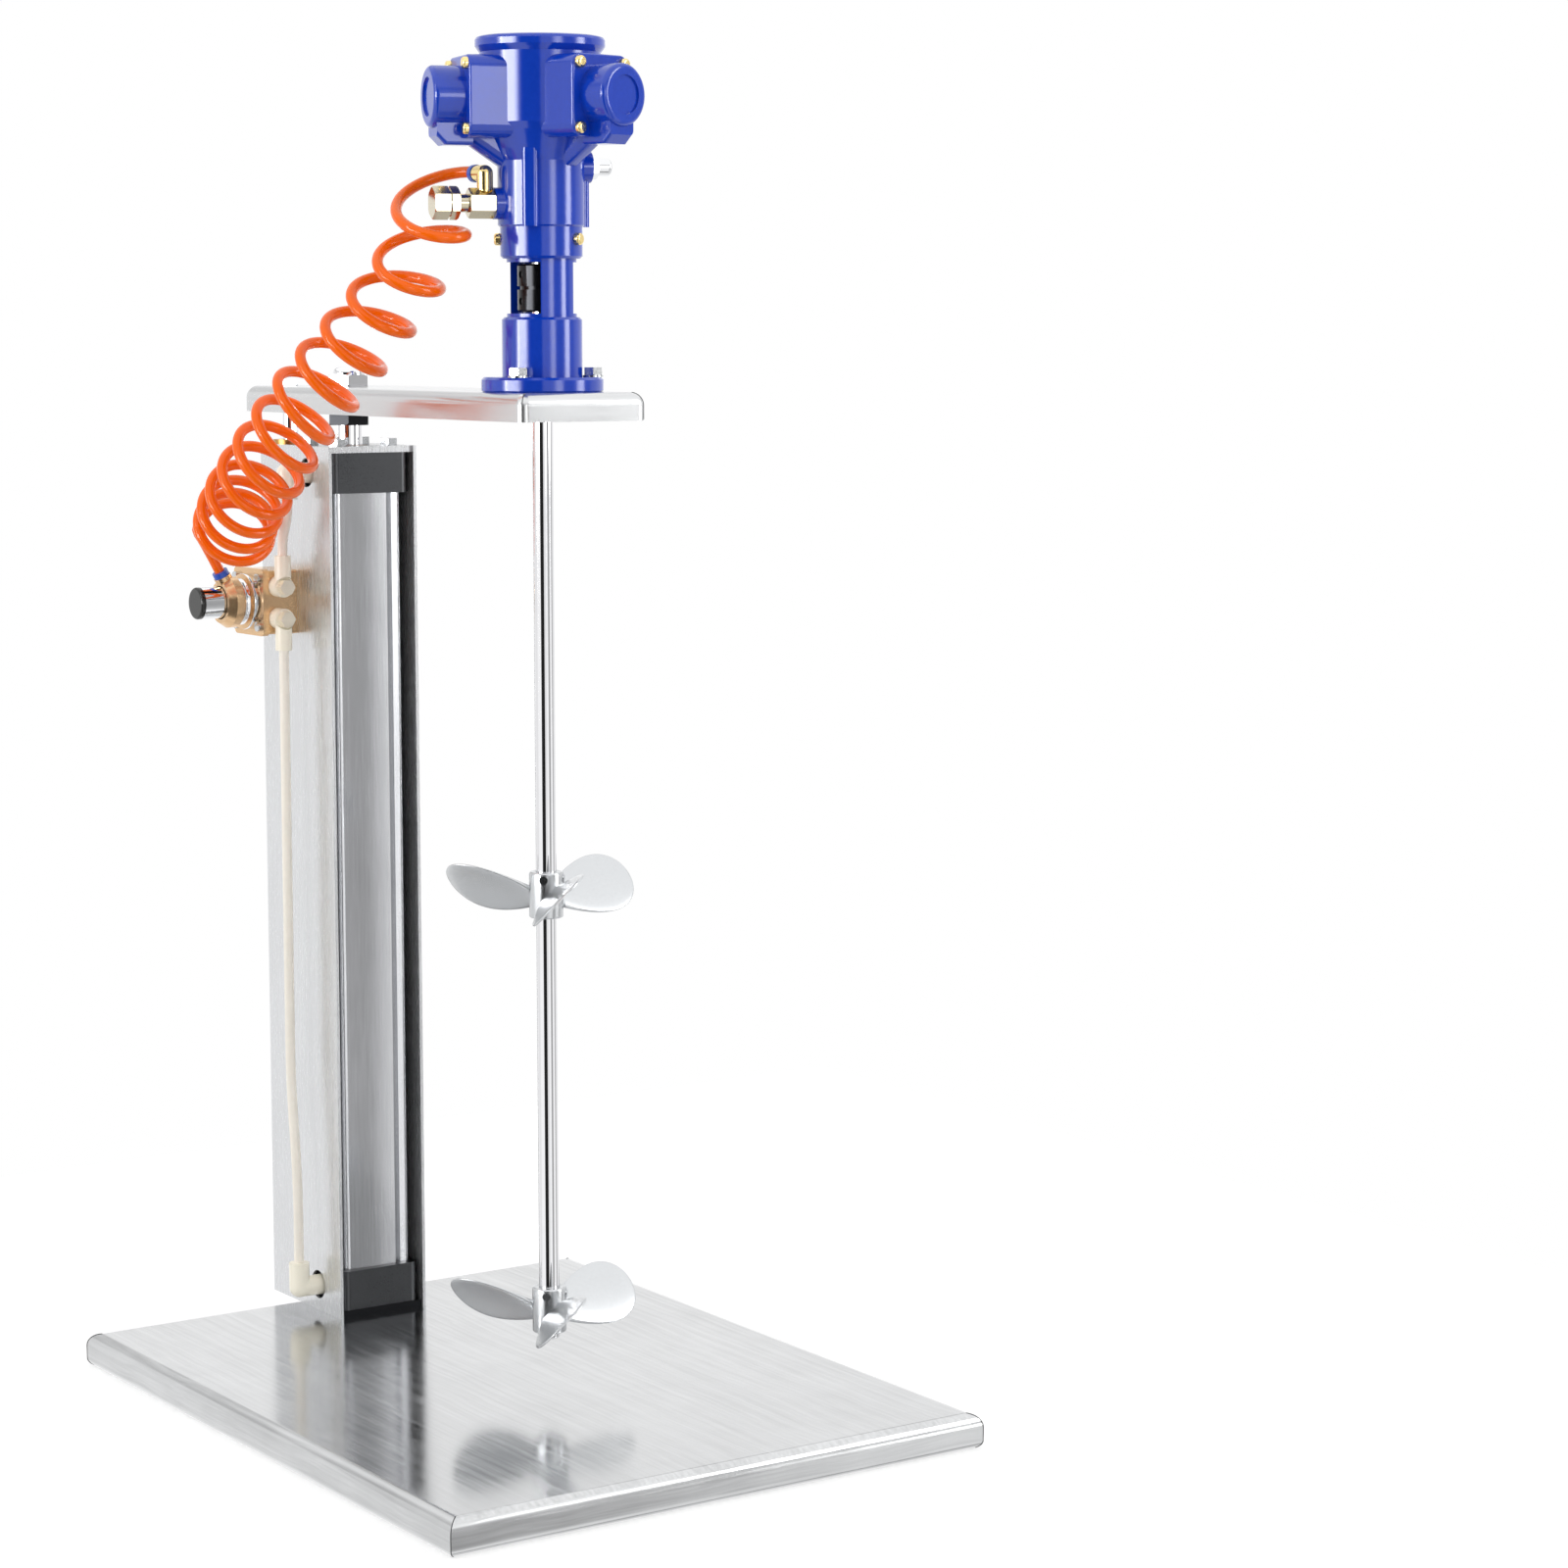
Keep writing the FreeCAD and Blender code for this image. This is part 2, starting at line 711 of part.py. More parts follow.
def motor_lantern():
    """The cast spacer: a flange, two collars and a windowed tube round the coupling."""
    inner = lantern_radius - lantern_wall
    outline = [
        (0, arm_top_z),
        (flange_radius - 1.0, arm_top_z),
        (flange_radius, arm_top_z + 1.0),
        (flange_radius, flange_top_z - 1.5),
        (flange_radius - 1.5, flange_top_z),
        (lower_collar_radius, flange_top_z),
        (lower_collar_radius, flange_top_z + lower_collar_height - 1.5),
        (lower_collar_radius - 1.5, flange_top_z + lower_collar_height),
        (lantern_radius, flange_top_z + lower_collar_height),
        (lantern_radius, upper_collar_z),
        (upper_collar_radius - 1.5, upper_collar_z),
        (upper_collar_radius, upper_collar_z + 1.5),
        (upper_collar_radius, neck_bottom_z),
        (0, neck_bottom_z),
    ]
    body = revolve(outline, 0, shaft_y)
    seat_z = flange_top_z + lower_collar_height - bearing_width
    cuts = [post(0, shaft_y, arm_top_z - 1, neck_bottom_z + 1, shaft_radius + 2.0),
            post(0, shaft_y, seat_z, neck_bottom_z + 1, bearing_outer_radius + seat_clearance),
            post(0, shaft_y, window_bottom_z - lantern_gap, neck_bottom_z + 1, inner)]
    reach = lantern_radius * math.sin(math.radians(lantern_window_angle / 2))
    cuts.append(box(-2 * lantern_radius, 2 * lantern_radius, shaft_y - reach, shaft_y + reach,
                    window_bottom_z, window_bottom_z + lantern_window_height))
    for x, y in bolt_places():
        cuts.append(post(x, y, arm_top_z - 1, flange_top_z + 1, bolt_radius + hole_clearance))
    for angle in collar_screw_angles:
        cuts.append(collar_screw_body(angle, collar_screw_radius + seat_clearance, inner - 1.0))
    return body.cut(cuts)


def collar_screw_body(angle, radius, start):
    z = neck_bottom_z - collar_screw_z_below_joint
    screw = Part.makeCylinder(radius, upper_collar_radius + 2.0 - start, Vector(start, shaft_y, z),
                              Vector(1, 0, 0))
    return turned(screw, angle)


def domed_head(radius, height, x, y, z):
    """A round screw head along +X with a softly rounded end."""
    head = Part.makeCylinder(radius, height, Vector(x, y, z), Vector(1, 0, 0))
    return round_edges(head, screw_dome_radius, lambda e: e.BoundBox.XLength < 0.01
                       and e.BoundBox.XMin > x + height / 2)


def collar_screws():
    """The brass screws round the lantern's upper collar."""
    solids = []
    z = neck_bottom_z - collar_screw_z_below_joint
    for angle in collar_screw_angles:
        start = upper_collar_radius - collar_screw_reach
        shank = Part.makeCylinder(collar_screw_radius, collar_screw_reach + 0.5, Vector(start, shaft_y, z),
                                  Vector(1, 0, 0))
        head = domed_head(collar_screw_head_radius, collar_screw_head_height, upper_collar_radius, shaft_y, z)
        solids.append(turned(shank.fuse(head), angle))
    return Part.makeCompound(solids)


def bearing(z0):
    """A closed ball bearing: two races with a shallow shield groove between them."""
    ring = post(0, shaft_y, z0, z0 + bearing_width, bearing_outer_radius)
    bore = post(0, shaft_y, z0 - 1, z0 + bearing_width + 1, shaft_radius + running_clearance)
    cuts = [bore]
    for z in (z0, z0 + bearing_width - 0.6):
        outer = post(0, shaft_y, z, z + 0.6, bearing_outer_radius - 2.5)
        cuts.append(outer.cut(post(0, shaft_y, z, z + 0.6, shaft_radius + 2.5)))
    return ring.cut(cuts)


def motor_bearing_z():
    return neck_bottom_z + 2.0


def lower_bearing_z():
    return flange_top_z + lower_collar_height - bearing_width


def head_pad():
    """The square pad, at angle 0, that one cylinder head sits on."""
    half = head_side / 2
    pad = box(0, head_seat_radius, shaft_y - half, shaft_y + half, head_z - half, head_z + half)
    return round_edges(pad, head_corner_radius, lambda e: e.BoundBox.XLength > head_seat_radius - 1)


def air_duct():
    """The teardrop duct, at angle 0, that runs from the neck up to one cylinder."""
    half = duct_width / 2
    low_z = neck_bottom_z + duct_foot_height
    points = [
        Vector(neck_radius - 8, shaft_y - half, low_z),
        Vector(neck_radius + 0.6, shaft_y - half, low_z),
        Vector(head_seat_radius, shaft_y - half, head_foot_bottom_z),
        Vector(head_seat_radius, shaft_y - half, head_z),
        Vector(neck_radius - 8, shaft_y - half, head_z),
    ]
    rib = Part.Face(Part.makePolygon(points + [points[0]])).extrude(Vector(0, duct_width, 0))

    def is_slope(edge):
        return edge.BoundBox.YLength < 0.01 and edge.BoundBox.ZMax < head_z - 1 and edge.BoundBox.XLength > 9

    return round_edges(rib, duct_width * 0.4, is_slope)


def neck_rib():
    half = neck_rib_width / 2
    rib = box(neck_radius - 6, neck_radius + neck_rib_reach, shaft_y - half, shaft_y + half,
              neck_bottom_z, neck_top_z + flare_height / 2)
    return round_edges(rib, 2.5, lambda e: is_upright(e) and e.BoundBox.XMin > neck_radius)


def motor_body():
    """The cast body: neck, flare, barrel, three head pads, three ducts and the neck's ribs."""
    outline = [
        (0, neck_bottom_z),
        (neck_radius - 1.0, neck_bottom_z),
        (neck_radius, neck_bottom_z + 1.0),
        (neck_radius, neck_top_z),
        (neck_radius + 3.0, neck_top_z + flare_height * 0.35),
        (barrel_body_radius - 2.5, barrel_z - 2.0),
        (barrel_body_radius, barrel_z + 2.0),
        (barrel_body_radius, crown_bottom_z),
        (0, crown_bottom_z),
    ]
    body = revolve(outline, 0, shaft_y)
    adds = []
    for angle in head_angles:
        adds.append(turned(head_pad(), angle))
        adds.append(turned(air_duct(), angle))
        adds.append(turned(neck_rib(), angle + 60))
    boss = Part.makeCylinder(inlet_boss_radius, inlet_body_start, Vector(0, shaft_y, inlet_z),
                             Vector(1, 0, 0))
    adds.append(turned(boss, inlet_angle))
    outlet = Part.makeCylinder(inlet_boss_radius, inlet_body_start + 1.0,
                               Vector(0, shaft_y, neck_bottom_z + silencer_height), Vector(1, 0, 0))
    adds.append(turned(outlet, silencer_angle))
    body = body.fuse(adds)
    cuts = [post(0, shaft_y, neck_bottom_z - 1, arm_top_z + output_shaft_top_height + 1.0,
                 shaft_radius + 2.0),
            post(0, shaft_y, motor_bearing_z(), motor_bearing_z() + bearing_width,
                 bearing_outer_radius + seat_clearance)]
    for angle in head_angles:
        for y, z in head_screw_places():
            hole = Part.makeCylinder(head_screw_radius + seat_clearance, head_screw_length,
                                     Vector(head_seat_radius - head_screw_length + 5, y, z), Vector(1, 0, 0))
            cuts.append(turned(hole, angle))
    return body.cut(cuts).removeSplitter()


def motor_crown():
    """The round cover on top, with a raised rim and a shallow dished lid."""
    outline = [
        (0, crown_bottom_z),
        (barrel_body_radius, crown_bottom_z),
        (crown_radius - 1.0, crown_bottom_z + 2.0),
        (crown_radius, crown_bottom_z + 3.5),
        (crown_radius, motor_top_z - 2.0),
        (crown_radius - 0.8, motor_top_z - 0.6),
        (crown_radius - 2.2, motor_top_z),
        (crown_radius - 4.5, motor_top_z - 0.4),
        (crown_radius - 6.0, motor_top_z - 1.6),
        (0, motor_top_z - 1.0),
    ]
    return revolve(outline, 0, shaft_y)


def head_screw_places():
    reach = head_screw_pitch / 2
    return [(shaft_y + y, head_z + z) for y in (-reach, reach) for z in (-reach, reach)]


def head_foot():
    """The air passage, at angle 0, under a head's cap: a box whose far lower edge slopes up."""
    half = head_foot_width / 2
    points = [
        Vector(head_seat_radius, shaft_y - half, head_foot_bottom_z),
        Vector(head_foot_end - head_foot_slope, shaft_y - half, head_foot_bottom_z),
        Vector(head_foot_end, shaft_y - half, head_foot_bottom_z + head_foot_slope),
        Vector(head_foot_end, shaft_y - half, head_z),
        Vector(head_seat_radius, shaft_y - half, head_z),
    ]
    foot = Part.Face(Part.makePolygon(points + [points[0]])).extrude(Vector(0, head_foot_width, 0))
    return round_edges(foot, 2.0, lambda e: e.BoundBox.YLength < 0.01 and e.BoundBox.ZMax < head_z - 5
                       and e.BoundBox.XLength > 1)


def cylinder_head(angle):
    """One cylinder head: a square flange with a round, softly edged cap over its air passage."""
    half = head_side / 2
    flange = box(head_seat_radius, head_seat_radius + head_flange_thickness, shaft_y - half, shaft_y + half,
                 head_z - half, head_z + half)
    flange = round_edges(flange, head_corner_radius, lambda e: e.BoundBox.XLength > head_flange_thickness - 0.1)
    flange = round_edges(flange, 1.2, lambda e: e.BoundBox.XLength < 0.01
                         and e.BoundBox.XMin > head_seat_radius + 1)
    start = head_seat_radius + head_flange_thickness - 0.5
    cap = Part.makeCylinder(head_cap_radius, head_cap_reach - start, Vector(start, shaft_y, head_z),
                            Vector(1, 0, 0))
    cap = round_edges(cap, head_cap_edge, lambda e: e.BoundBox.XLength < 0.01
                      and e.BoundBox.XMin > head_cap_reach - 0.1)
    pocket = Part.makeCylinder(head_pocket_radius, head_pocket_depth + 1,
                               Vector(head_cap_reach - head_pocket_depth, shaft_y, head_z), Vector(1, 0, 0))
    cuts = [pocket]
    for y, z in head_screw_places():
        cuts.append(Part.makeCylinder(head_screw_radius + seat_clearance, head_flange_thickness + 2,
                                      Vector(head_seat_radius - 1, y, z), Vector(1, 0, 0)))
    return turned(flange.fuse([cap, head_foot()]).cut(cuts), angle)


def head_screws():
    solids = []
    top = head_seat_radius + head_flange_thickness
    for angle in head_angles:
        for y, z in head_screw_places():
            head = domed_head(head_screw_head_radius, head_screw_head_height, top, y, z)
            shank = Part.makeCylinder(head_screw_radius, head_screw_length,
                                      Vector(top - head_screw_length, y, z), Vector(1, 0, 0))
            solids.append(turned(head.fuse(shank), angle))
    return Part.makeCompound(solids)


def inlet_valve_body():
    """The nickel-plated throttle body that screws into the neck."""
    length = inlet_body_end - inlet_body_start
    prism = laid_out(hexagon(0, 0, 0, length, inlet_body_flats), inlet_body_start, shaft_y, inlet_z)
    bonnet = Part.makeCylinder(inlet_bonnet_radius, inlet_bonnet_end - inlet_body_end + 1,
                               Vector(inlet_body_end - 1, shaft_y, inlet_z), Vector(1, 0, 0))
    bore = Part.makeCylinder(speed_stem_radius + running_clearance, inlet_bonnet_end,
                             Vector(inlet_body_end - 6, shaft_y, inlet_z), Vector(1, 0, 0))
    port = post(inlet_elbow_reach, shaft_y, inlet_z, inlet_z + inlet_body_flats,
                inlet_peg_radius + seat_clearance)
    return turned(prism.fuse(bonnet).cut([bore, port]), inlet_angle)


def speed_knob():
    """The six-sided speed knob with its stem, which turns in the throttle body."""
    length = speed_knob_end - speed_knob_start
    grip = laid_out(hexagon(0, 0, 0, length, speed_knob_flats), speed_knob_start, shaft_y, inlet_z)
    stem = Part.makeCylinder(speed_stem_radius, speed_knob_start - inlet_body_end + 5,
                             Vector(inlet_body_end - 5, shaft_y, inlet_z), Vector(1, 0, 0))
    groove_x = speed_knob_start + length * 0.32
    ring = Part.makeCylinder(speed_knob_flats, 1.0, Vector(groove_x, shaft_y, inlet_z), Vector(1, 0, 0))
    core = Part.makeCylinder(speed_knob_flats / 2 - 0.6, 1.0, Vector(groove_x, shaft_y, inlet_z),
                             Vector(1, 0, 0))
    return turned(grip.cut(ring.cut(core)).fuse(stem), inlet_angle)


def inlet_elbow_foot():
    turn = math.radians(inlet_angle)
    return Vector(inlet_elbow_reach * math.cos(turn), shaft_y + inlet_elbow_reach * math.sin(turn),
                  inlet_z + inlet_elbow_height)


def inlet_elbow_way():
    turn = math.radians(inlet_elbow_turn)
    return Vector(math.cos(turn), math.sin(turn), 0)


def inlet_elbow():
    """The brass push-in elbow that stands on the throttle body."""
    foot = inlet_elbow_foot()
    seat_z = inlet_z + inlet_body_flats / 2
    upright = post(foot.x, foot.y, seat_z, foot.z, inlet_elbow_radius)
    bend = Part.makeSphere(inlet_elbow_radius, foot)
    peg = post(foot.x, foot.y, inlet_z + inlet_peg_gap, seat_z + 1, inlet_peg_radius)
    arm_end = foot.add(inlet_elbow_way().multiply(inlet_elbow_length))
    sleeve = rod_between(foot, arm_end, inlet_elbow_radius)
    bore_start = foot.add(inlet_elbow_way().multiply(inlet_elbow_length - hose_socket_depth))
    bore = rod_between(bore_start, arm_end.add(inlet_elbow_way()), hose_radius + seat_clearance)
    hexagon_below = hexagon(0, 0, 0, inlet_body_end - inlet_body_start, inlet_body_flats)
    hexagon_below = turned(laid_out(hexagon_below, inlet_body_start, shaft_y, inlet_z), inlet_angle)
    body = upright.fuse([bend, sleeve]).cut([bore, hexagon_below])
    return body.fuse(peg)


def collet(start, way):
    """The pushable ring that grips a hose in its fitting."""
    end = start.add(Vector(way).multiply(collet_length))
    ring = rod_between(start, end, collet_radius)
    bore = rod_between(start.sub(way), end.add(way), hose_radius + seat_clearance)
    return ring.cut(bore)


def inlet_collet():
    way = inlet_elbow_way()
    return collet(inlet_elbow_foot().add(Vector(way).multiply(inlet_elbow_length)), way)


def exhaust_silencer():
    """The sintered silencer on the exhaust boss: a hex foot and a rounded nose."""
    z = neck_bottom_z + silencer_height
    start = inlet_body_start + 1.0
    foot = laid_out(hexagon(0, 0, 0, 4.0, 12.0), start, shaft_y, z)
    nose = Part.makeCylinder(5.0, 9.0, Vector(start + 3.5, shaft_y, z), Vector(1, 0, 0))
    nose = round_edges(nose, 2.4, lambda e: e.BoundBox.XLength < 0.01 and e.BoundBox.XMin > start + 12)
    return turned(foot.fuse(nose), silencer_angle)


def mixing_shaft():
    body = post(0, shaft_y, shaft_bottom_z, shaft_top_z, shaft_radius)
    return body.makeChamfer(1.0, [e for e in body.Edges if is_level_at(e, shaft_bottom_z)])


def output_shaft():
    return post(0, shaft_y, shaft_top_z + 0.5, arm_top_z + output_shaft_top_height, shaft_radius)


def coupling_z():
    return window_bottom_z + (lantern_window_height - coupling_height) / 2


def set_screw_heights():
    return (coupling_z() + coupling_height * 0.22, coupling_z() + coupling_height * 0.78)


def shaft_coupling():
    z0, z1 = coupling_z(), coupling_z() + coupling_height
    body = post(0, shaft_y, z0, z1, coupling_radius)
    body = body.makeChamfer(1.0, [e for e in body.Edges if is_level_at(e, z0) or is_level_at(e, z1)])
    cuts = [post(0, shaft_y, z0 - 1, z1 + 1, shaft_radius + seat_clearance)]
    middle = (z0 + z1) / 2
    groove = post(0, shaft_y, middle - 1.0, middle + 1.0, coupling_radius + 1)
    cuts.append(groove.cut(post(0, shaft_y, middle - 1.0, middle + 1.0, coupling_radius - 1.5)))
    for z in set_screw_heights():
        cuts.append(Part.makeCylinder(set_screw_radius + seat_clearance, coupling_radius * 2,
                                      Vector(0, shaft_y, z), Vector(-1, 0, 0)))
    return body.cut(cuts)


def coupling_screws():
    solids = []
    for z in set_screw_heights():
        start = Vector(-shaft_radius - 0.1, shaft_y, z)
        solids.append(Part.makeCylinder(set_screw_radius, set_screw_length, start, Vector(-1, 0, 0)))
    return Part.makeCompound(solids)


def blade_section(centre, chord, thickness, pitch):
    """An elliptic slice across a blade that points along +X, tilted by the pitch."""
    tilt = math.radians(pitch)
    long_way = Vector(0, math.cos(tilt), math.sin(tilt))
    thin_way = Vector(0, -math.sin(tilt), math.cos(tilt))
    ellipse = Part.Ellipse(centre.add(Vector(long_way).multiply(chord / 2)),
                           centre.add(Vector(thin_way).multiply(thickness / 2)), centre)
    return Part.Wire([ellipse.toShape()])


def blade():
    """One broad, twisted blade with a round tip, from inside the hub to the tip."""
    widths = ((0.11, 0.22), (0.26, 0.42), (0.45, 0.68), (0.65, 0.78), (0.82, 0.68), (0.93, 0.46), (1.0, 0.14))
    sections = []
    for share, width in widths:
        pitch = blade_root_angle + (blade_tip_angle - blade_root_angle) * share
        thickness = blade_thickness * (1.25 - 0.65 * share)
        place = Vector(share * blade_tip_radius, 0, share * blade_rake)
        sections.append(blade_section(place, width * blade_tip_radius, thickness, pitch))
    return Part.makeLoft(sections, True, False)


def propeller(bottom_z):
    """A three-bladed propeller: a bored hub with set screw holes and three pitched blades."""
    hub = post(0, 0, 0, hub_height, hub_radius)
    rims = [e for e in hub.Edges if is_level_at(e, 0) or is_level_at(e, hub_height)]
    hub = hub.makeChamfer(1.2, rims)
    blades = []
    for angle in blade_angles:
        one = blade()
        one.rotate(Vector(0, 0, 0), UP, angle)
        one.translate(Vector(0, 0, hub_height * blade_height_share))
        blades.append(one)
    body = hub.fuse(blades)
    cuts = [post(0, 0, -hub_height, 2 * hub_height, shaft_radius + seat_clearance)]
    for screw in hub_screw_bodies(0, hub_set_screw_radius + seat_clearance, hub_radius + 2):
        cuts.append(screw)
    body = body.cut(cuts)
    body.translate(Vector(0, shaft_y, bottom_z))
    return body


def hub_screw_bodies(bottom_z, radius, length):
    solids = []
    for turn in hub_screw_angles:
        screw = Part.makeCylinder(radius, length - shaft_radius - 0.1, Vector(shaft_radius + 0.1, 0, 0),
                                  Vector(1, 0, 0))
        screw.rotate(Vector(0, 0, 0), UP, turn)
        screw.translate(Vector(0, 0, bottom_z + hub_height * hub_screw_height_share))
        solids.append(screw)
    return solids


def propeller_screws():
    solids = []
    for bottom in propeller_bottoms:
        for screw in hub_screw_bodies(bottom, hub_set_screw_radius, hub_radius + 0.6):
            screw.translate(Vector(0, shaft_y, 0))
            solids.append(screw)
    return Part.makeCompound(solids)


def hand_valve_body():
    """The valve block on the column, with its flange, turret and ports."""
    half_y, half_z = valve_body_depth / 2, valve_body_height / 2
    block = box(valve_left_x, column_left_x, valve_y - half_y, valve_y + half_y, valve_z - half_z,
                valve_z + half_z)
    block = round_edges(block, 2.0, lambda e: e.BoundBox.XLength > valve_body_reach - 0.1)
    flange = box(valve_left_x - valve_flange_thickness, valve_left_x, valve_y - half_y - 1,
                 valve_y + half_y + 1, valve_z - half_z - 1, valve_z + half_z + 1)
    flange = round_edges(flange, 3.5, lambda e: e.BoundBox.XLength > valve_flange_thickness - 0.1)
    body = block.fuse([flange, valve_turret(), supply_neck()])
    cuts = [Part.makeCylinder(valve_stem_radius + running_clearance, turret_length + 12,
                              Vector(turret_tip_x - 1, valve_y, valve_z), Vector(1, 0, 0)),
            rod_between(Vector(valve_knob_start() + valve_knob_room, valve_y, valve_z),
                        Vector(turret_tip_x - turret_length, valve_y, valve_z),
                        valve_knob_radius + valve_knob_clearance)]
    port_x = valve_left_x + supply_port_inset
    port_end = Vector(port_x, valve_y + half_y + 1, valve_z)
    cuts.append(rod_between(Vector(port_x, valve_y + half_y - supply_port_depth, valve_z), port_end,
                            supply_port_radius))
    for z in banjo_heights():
        cuts.append(rod_between(Vector(tube_x, valve_front_y - 1, z), Vector(tube_x, valve_front_y + 8, z),
                                banjo_bolt_radius + seat_clearance))
    for y, z in valve_screw_places():
        cuts.append(rod_between(Vector(turret_x - 1, y, z), Vector(turret_x + 10, y, z),
                                valve_screw_radius + seat_clearance))
    mouth = supply_neck_end()
    cuts.append(rod_between(mouth.sub(supply_neck_way().multiply(hose_socket_depth)),
                            mouth.add(supply_neck_way()), hose_radius + seat_clearance))
    return body.cut(cuts).removeSplitter()


def valve_turret():
    """The round housing of the valve: two rings with a groove between them, laid towards -X."""
    outline = [
        (0, -1.0),
        (turret_base_radius, -1.0),
        (turret_base_radius, 5.0),
        (turret_groove_radius, 6.0),
        (turret_groove_radius, 9.0),
        (turret_ring_radius, 10.5),
        (turret_ring_radius, 15.5),
        (turret_tip_radius + 1.0, 18.5),
        (turret_tip_radius, turret_length),
        (0, turret_length),
    ]
    turret = revolve(outline, 0, 0)
    turret.rotate(Vector(0, 0, 0), Vector(0, 1, 0), -90)
    turret.translate(Vector(turret_x, valve_y, valve_z))
    return turret


def supply_neck_foot():
    return Vector(turret_tip_x + supply_neck_inset, valve_y, valve_z + turret_tip_radius - supply_neck_sink)


def supply_neck_way():
    lean = math.radians(supply_neck_lean)
    return Vector(-math.sin(lean), 0, math.cos(lean))


def supply_neck_end():
    return supply_neck_foot().add(supply_neck_way().multiply(supply_neck_length))


def supply_neck():
    """The leaning fitting on the turret, where the coiled hose leaves."""
    return rod_between(supply_neck_foot(), supply_neck_end(), supply_neck_radius)


def valve_collet():
    return collet(supply_neck_end(), supply_neck_way())


def valve_screw_places():
    reach = valve_screw_pitch / 2
    return [(valve_y + y, valve_z + z) for y in (-reach, reach) for z in (-reach, reach)]


def valve_screws():
    solids = []
    for y, z in valve_screw_places():
        head = rod_between(Vector(turret_x - valve_screw_head_height, y, z), Vector(turret_x, y, z),
                           valve_screw_head_radius)
        shank = rod_between(Vector(turret_x, y, z), Vector(turret_x + valve_screw_length, y, z),
                            valve_screw_radius)
        solids.append(head.fuse(shank))
    return Part.makeCompound(solids)


def valve_knob_start():
    return turret_tip_x + valve_knob_sink


def valve_knob():
    """The pull knob: a polished, slightly waisted drum on its stem."""
    x1 = valve_knob_start()
    drum = rod_between(Vector(x1, valve_y, valve_z), Vector(x1 - valve_knob_length, valve_y, valve_z),
                       valve_knob_radius)
    drum = round_edges(drum, 1.5, lambda e: e.BoundBox.XLength < 0.01 and e.BoundBox.XMin > x1 - 0.1)
    stem = rod_between(Vector(x1 - 0.5, valve_y, valve_z),
                       Vector(x1 + turret_length - valve_knob_sink, valve_y, valve_z), valve_stem_radius)
    return drum.fuse(stem)


def valve_knob_cap():
    x0 = valve_knob_start() - valve_knob_length
    cap = rod_between(Vector(x0, valve_y, valve_z), Vector(x0 - valve_cap_thickness, valve_y, valve_z),
                      valve_knob_radius)
    return round_edges(cap, 1.4, lambda e: e.BoundBox.XLength < 0.01
                       and e.BoundBox.XMin < x0 - valve_cap_thickness + 0.1)


def banjo_heights():
    return (valve_z - banjo_pitch / 2, valve_z + banjo_pitch / 2)


def banjo_elbow(z, way):
    """One moulded banjo elbow; the way is +1 for a tube that goes up and -1 for one that goes down."""
    ring = rod_between(Vector(tube_x, valve_front_y - banjo_thickness, z), Vector(tube_x, valve_front_y, z),
                       banjo_radius)
    low, high = z + way * 2.0, z + way * (banjo_radius + banjo_stub_length)
    stub = rod_between(Vector(tube_x, tube_y, low), Vector(tube_x, tube_y, high), banjo_stub_radius)
    mouth = rod_between(Vector(tube_x, tube_y, high - way * 6), Vector(tube_x, tube_y, high + way),
                        air_tube_radius + seat_clearance)
    bore = rod_between(Vector(tube_x, valve_front_y - banjo_thickness - 20, z), Vector(tube_x,
                                                                                      valve_front_y + 1, z),
                       banjo_bolt_radius + seat_clearance)
    recess = rod_between(Vector(tube_x, valve_front_y - banjo_thickness - 20, z),
                         Vector(tube_x, valve_front_y - banjo_thickness, z), banjo_radius)
    return ring.fuse(stub).cut([mouth, bore, recess])


def banjo_bolts():
    solids = []
    for z in banjo_heights():
        front = valve_front_y - banjo_thickness
        head = hexagon(0, 0, 0, banjo_bolt_head, banjo_bolt_flats)
        head.rotate(Vector(0, 0, 0), Vector(1, 0, 0), 90)
        head.translate(Vector(tube_x, front, z))
        shank = rod_between(Vector(tube_x, front, z), Vector(tube_x, valve_front_y + 7, z), banjo_bolt_radius)
        solids.append(head.fuse(shank))
    return Part.makeCompound(solids)


def port_elbow(z, way):
    """A white elbow that screws into a cylinder cap through the hole in the column."""
    stem = rod_between(Vector(tube_x, lift_y, z), Vector(-cap_side / 2, lift_y, z), port_elbow_radius)
    thread = rod_between(Vector(-cap_side / 2 - 1, lift_y, z), Vector(-cap_side / 2 + 9, lift_y, z),
                         port_radius)
    bend = Part.makeSphere(port_elbow_radius, Vector(tube_x, lift_y, z))
    end = z + way * port_elbow_stub
    sleeve = rod_between(Vector(tube_x, lift_y, z), Vector(tube_x, lift_y, end), port_elbow_radius)
    mouth = rod_between(Vector(tube_x, lift_y, end - way * 6), Vector(tube_x, lift_y, end + way),
                        air_tube_radius + seat_clearance)
    return stem.fuse([thread, bend, sleeve]).cut(mouth)


def air_tube(route):
    """A plastic air tube along straight runs joined by tangent arcs."""
    path = rounded_path(route, "air tube")
    return tube_along(path, air_tube_radius)


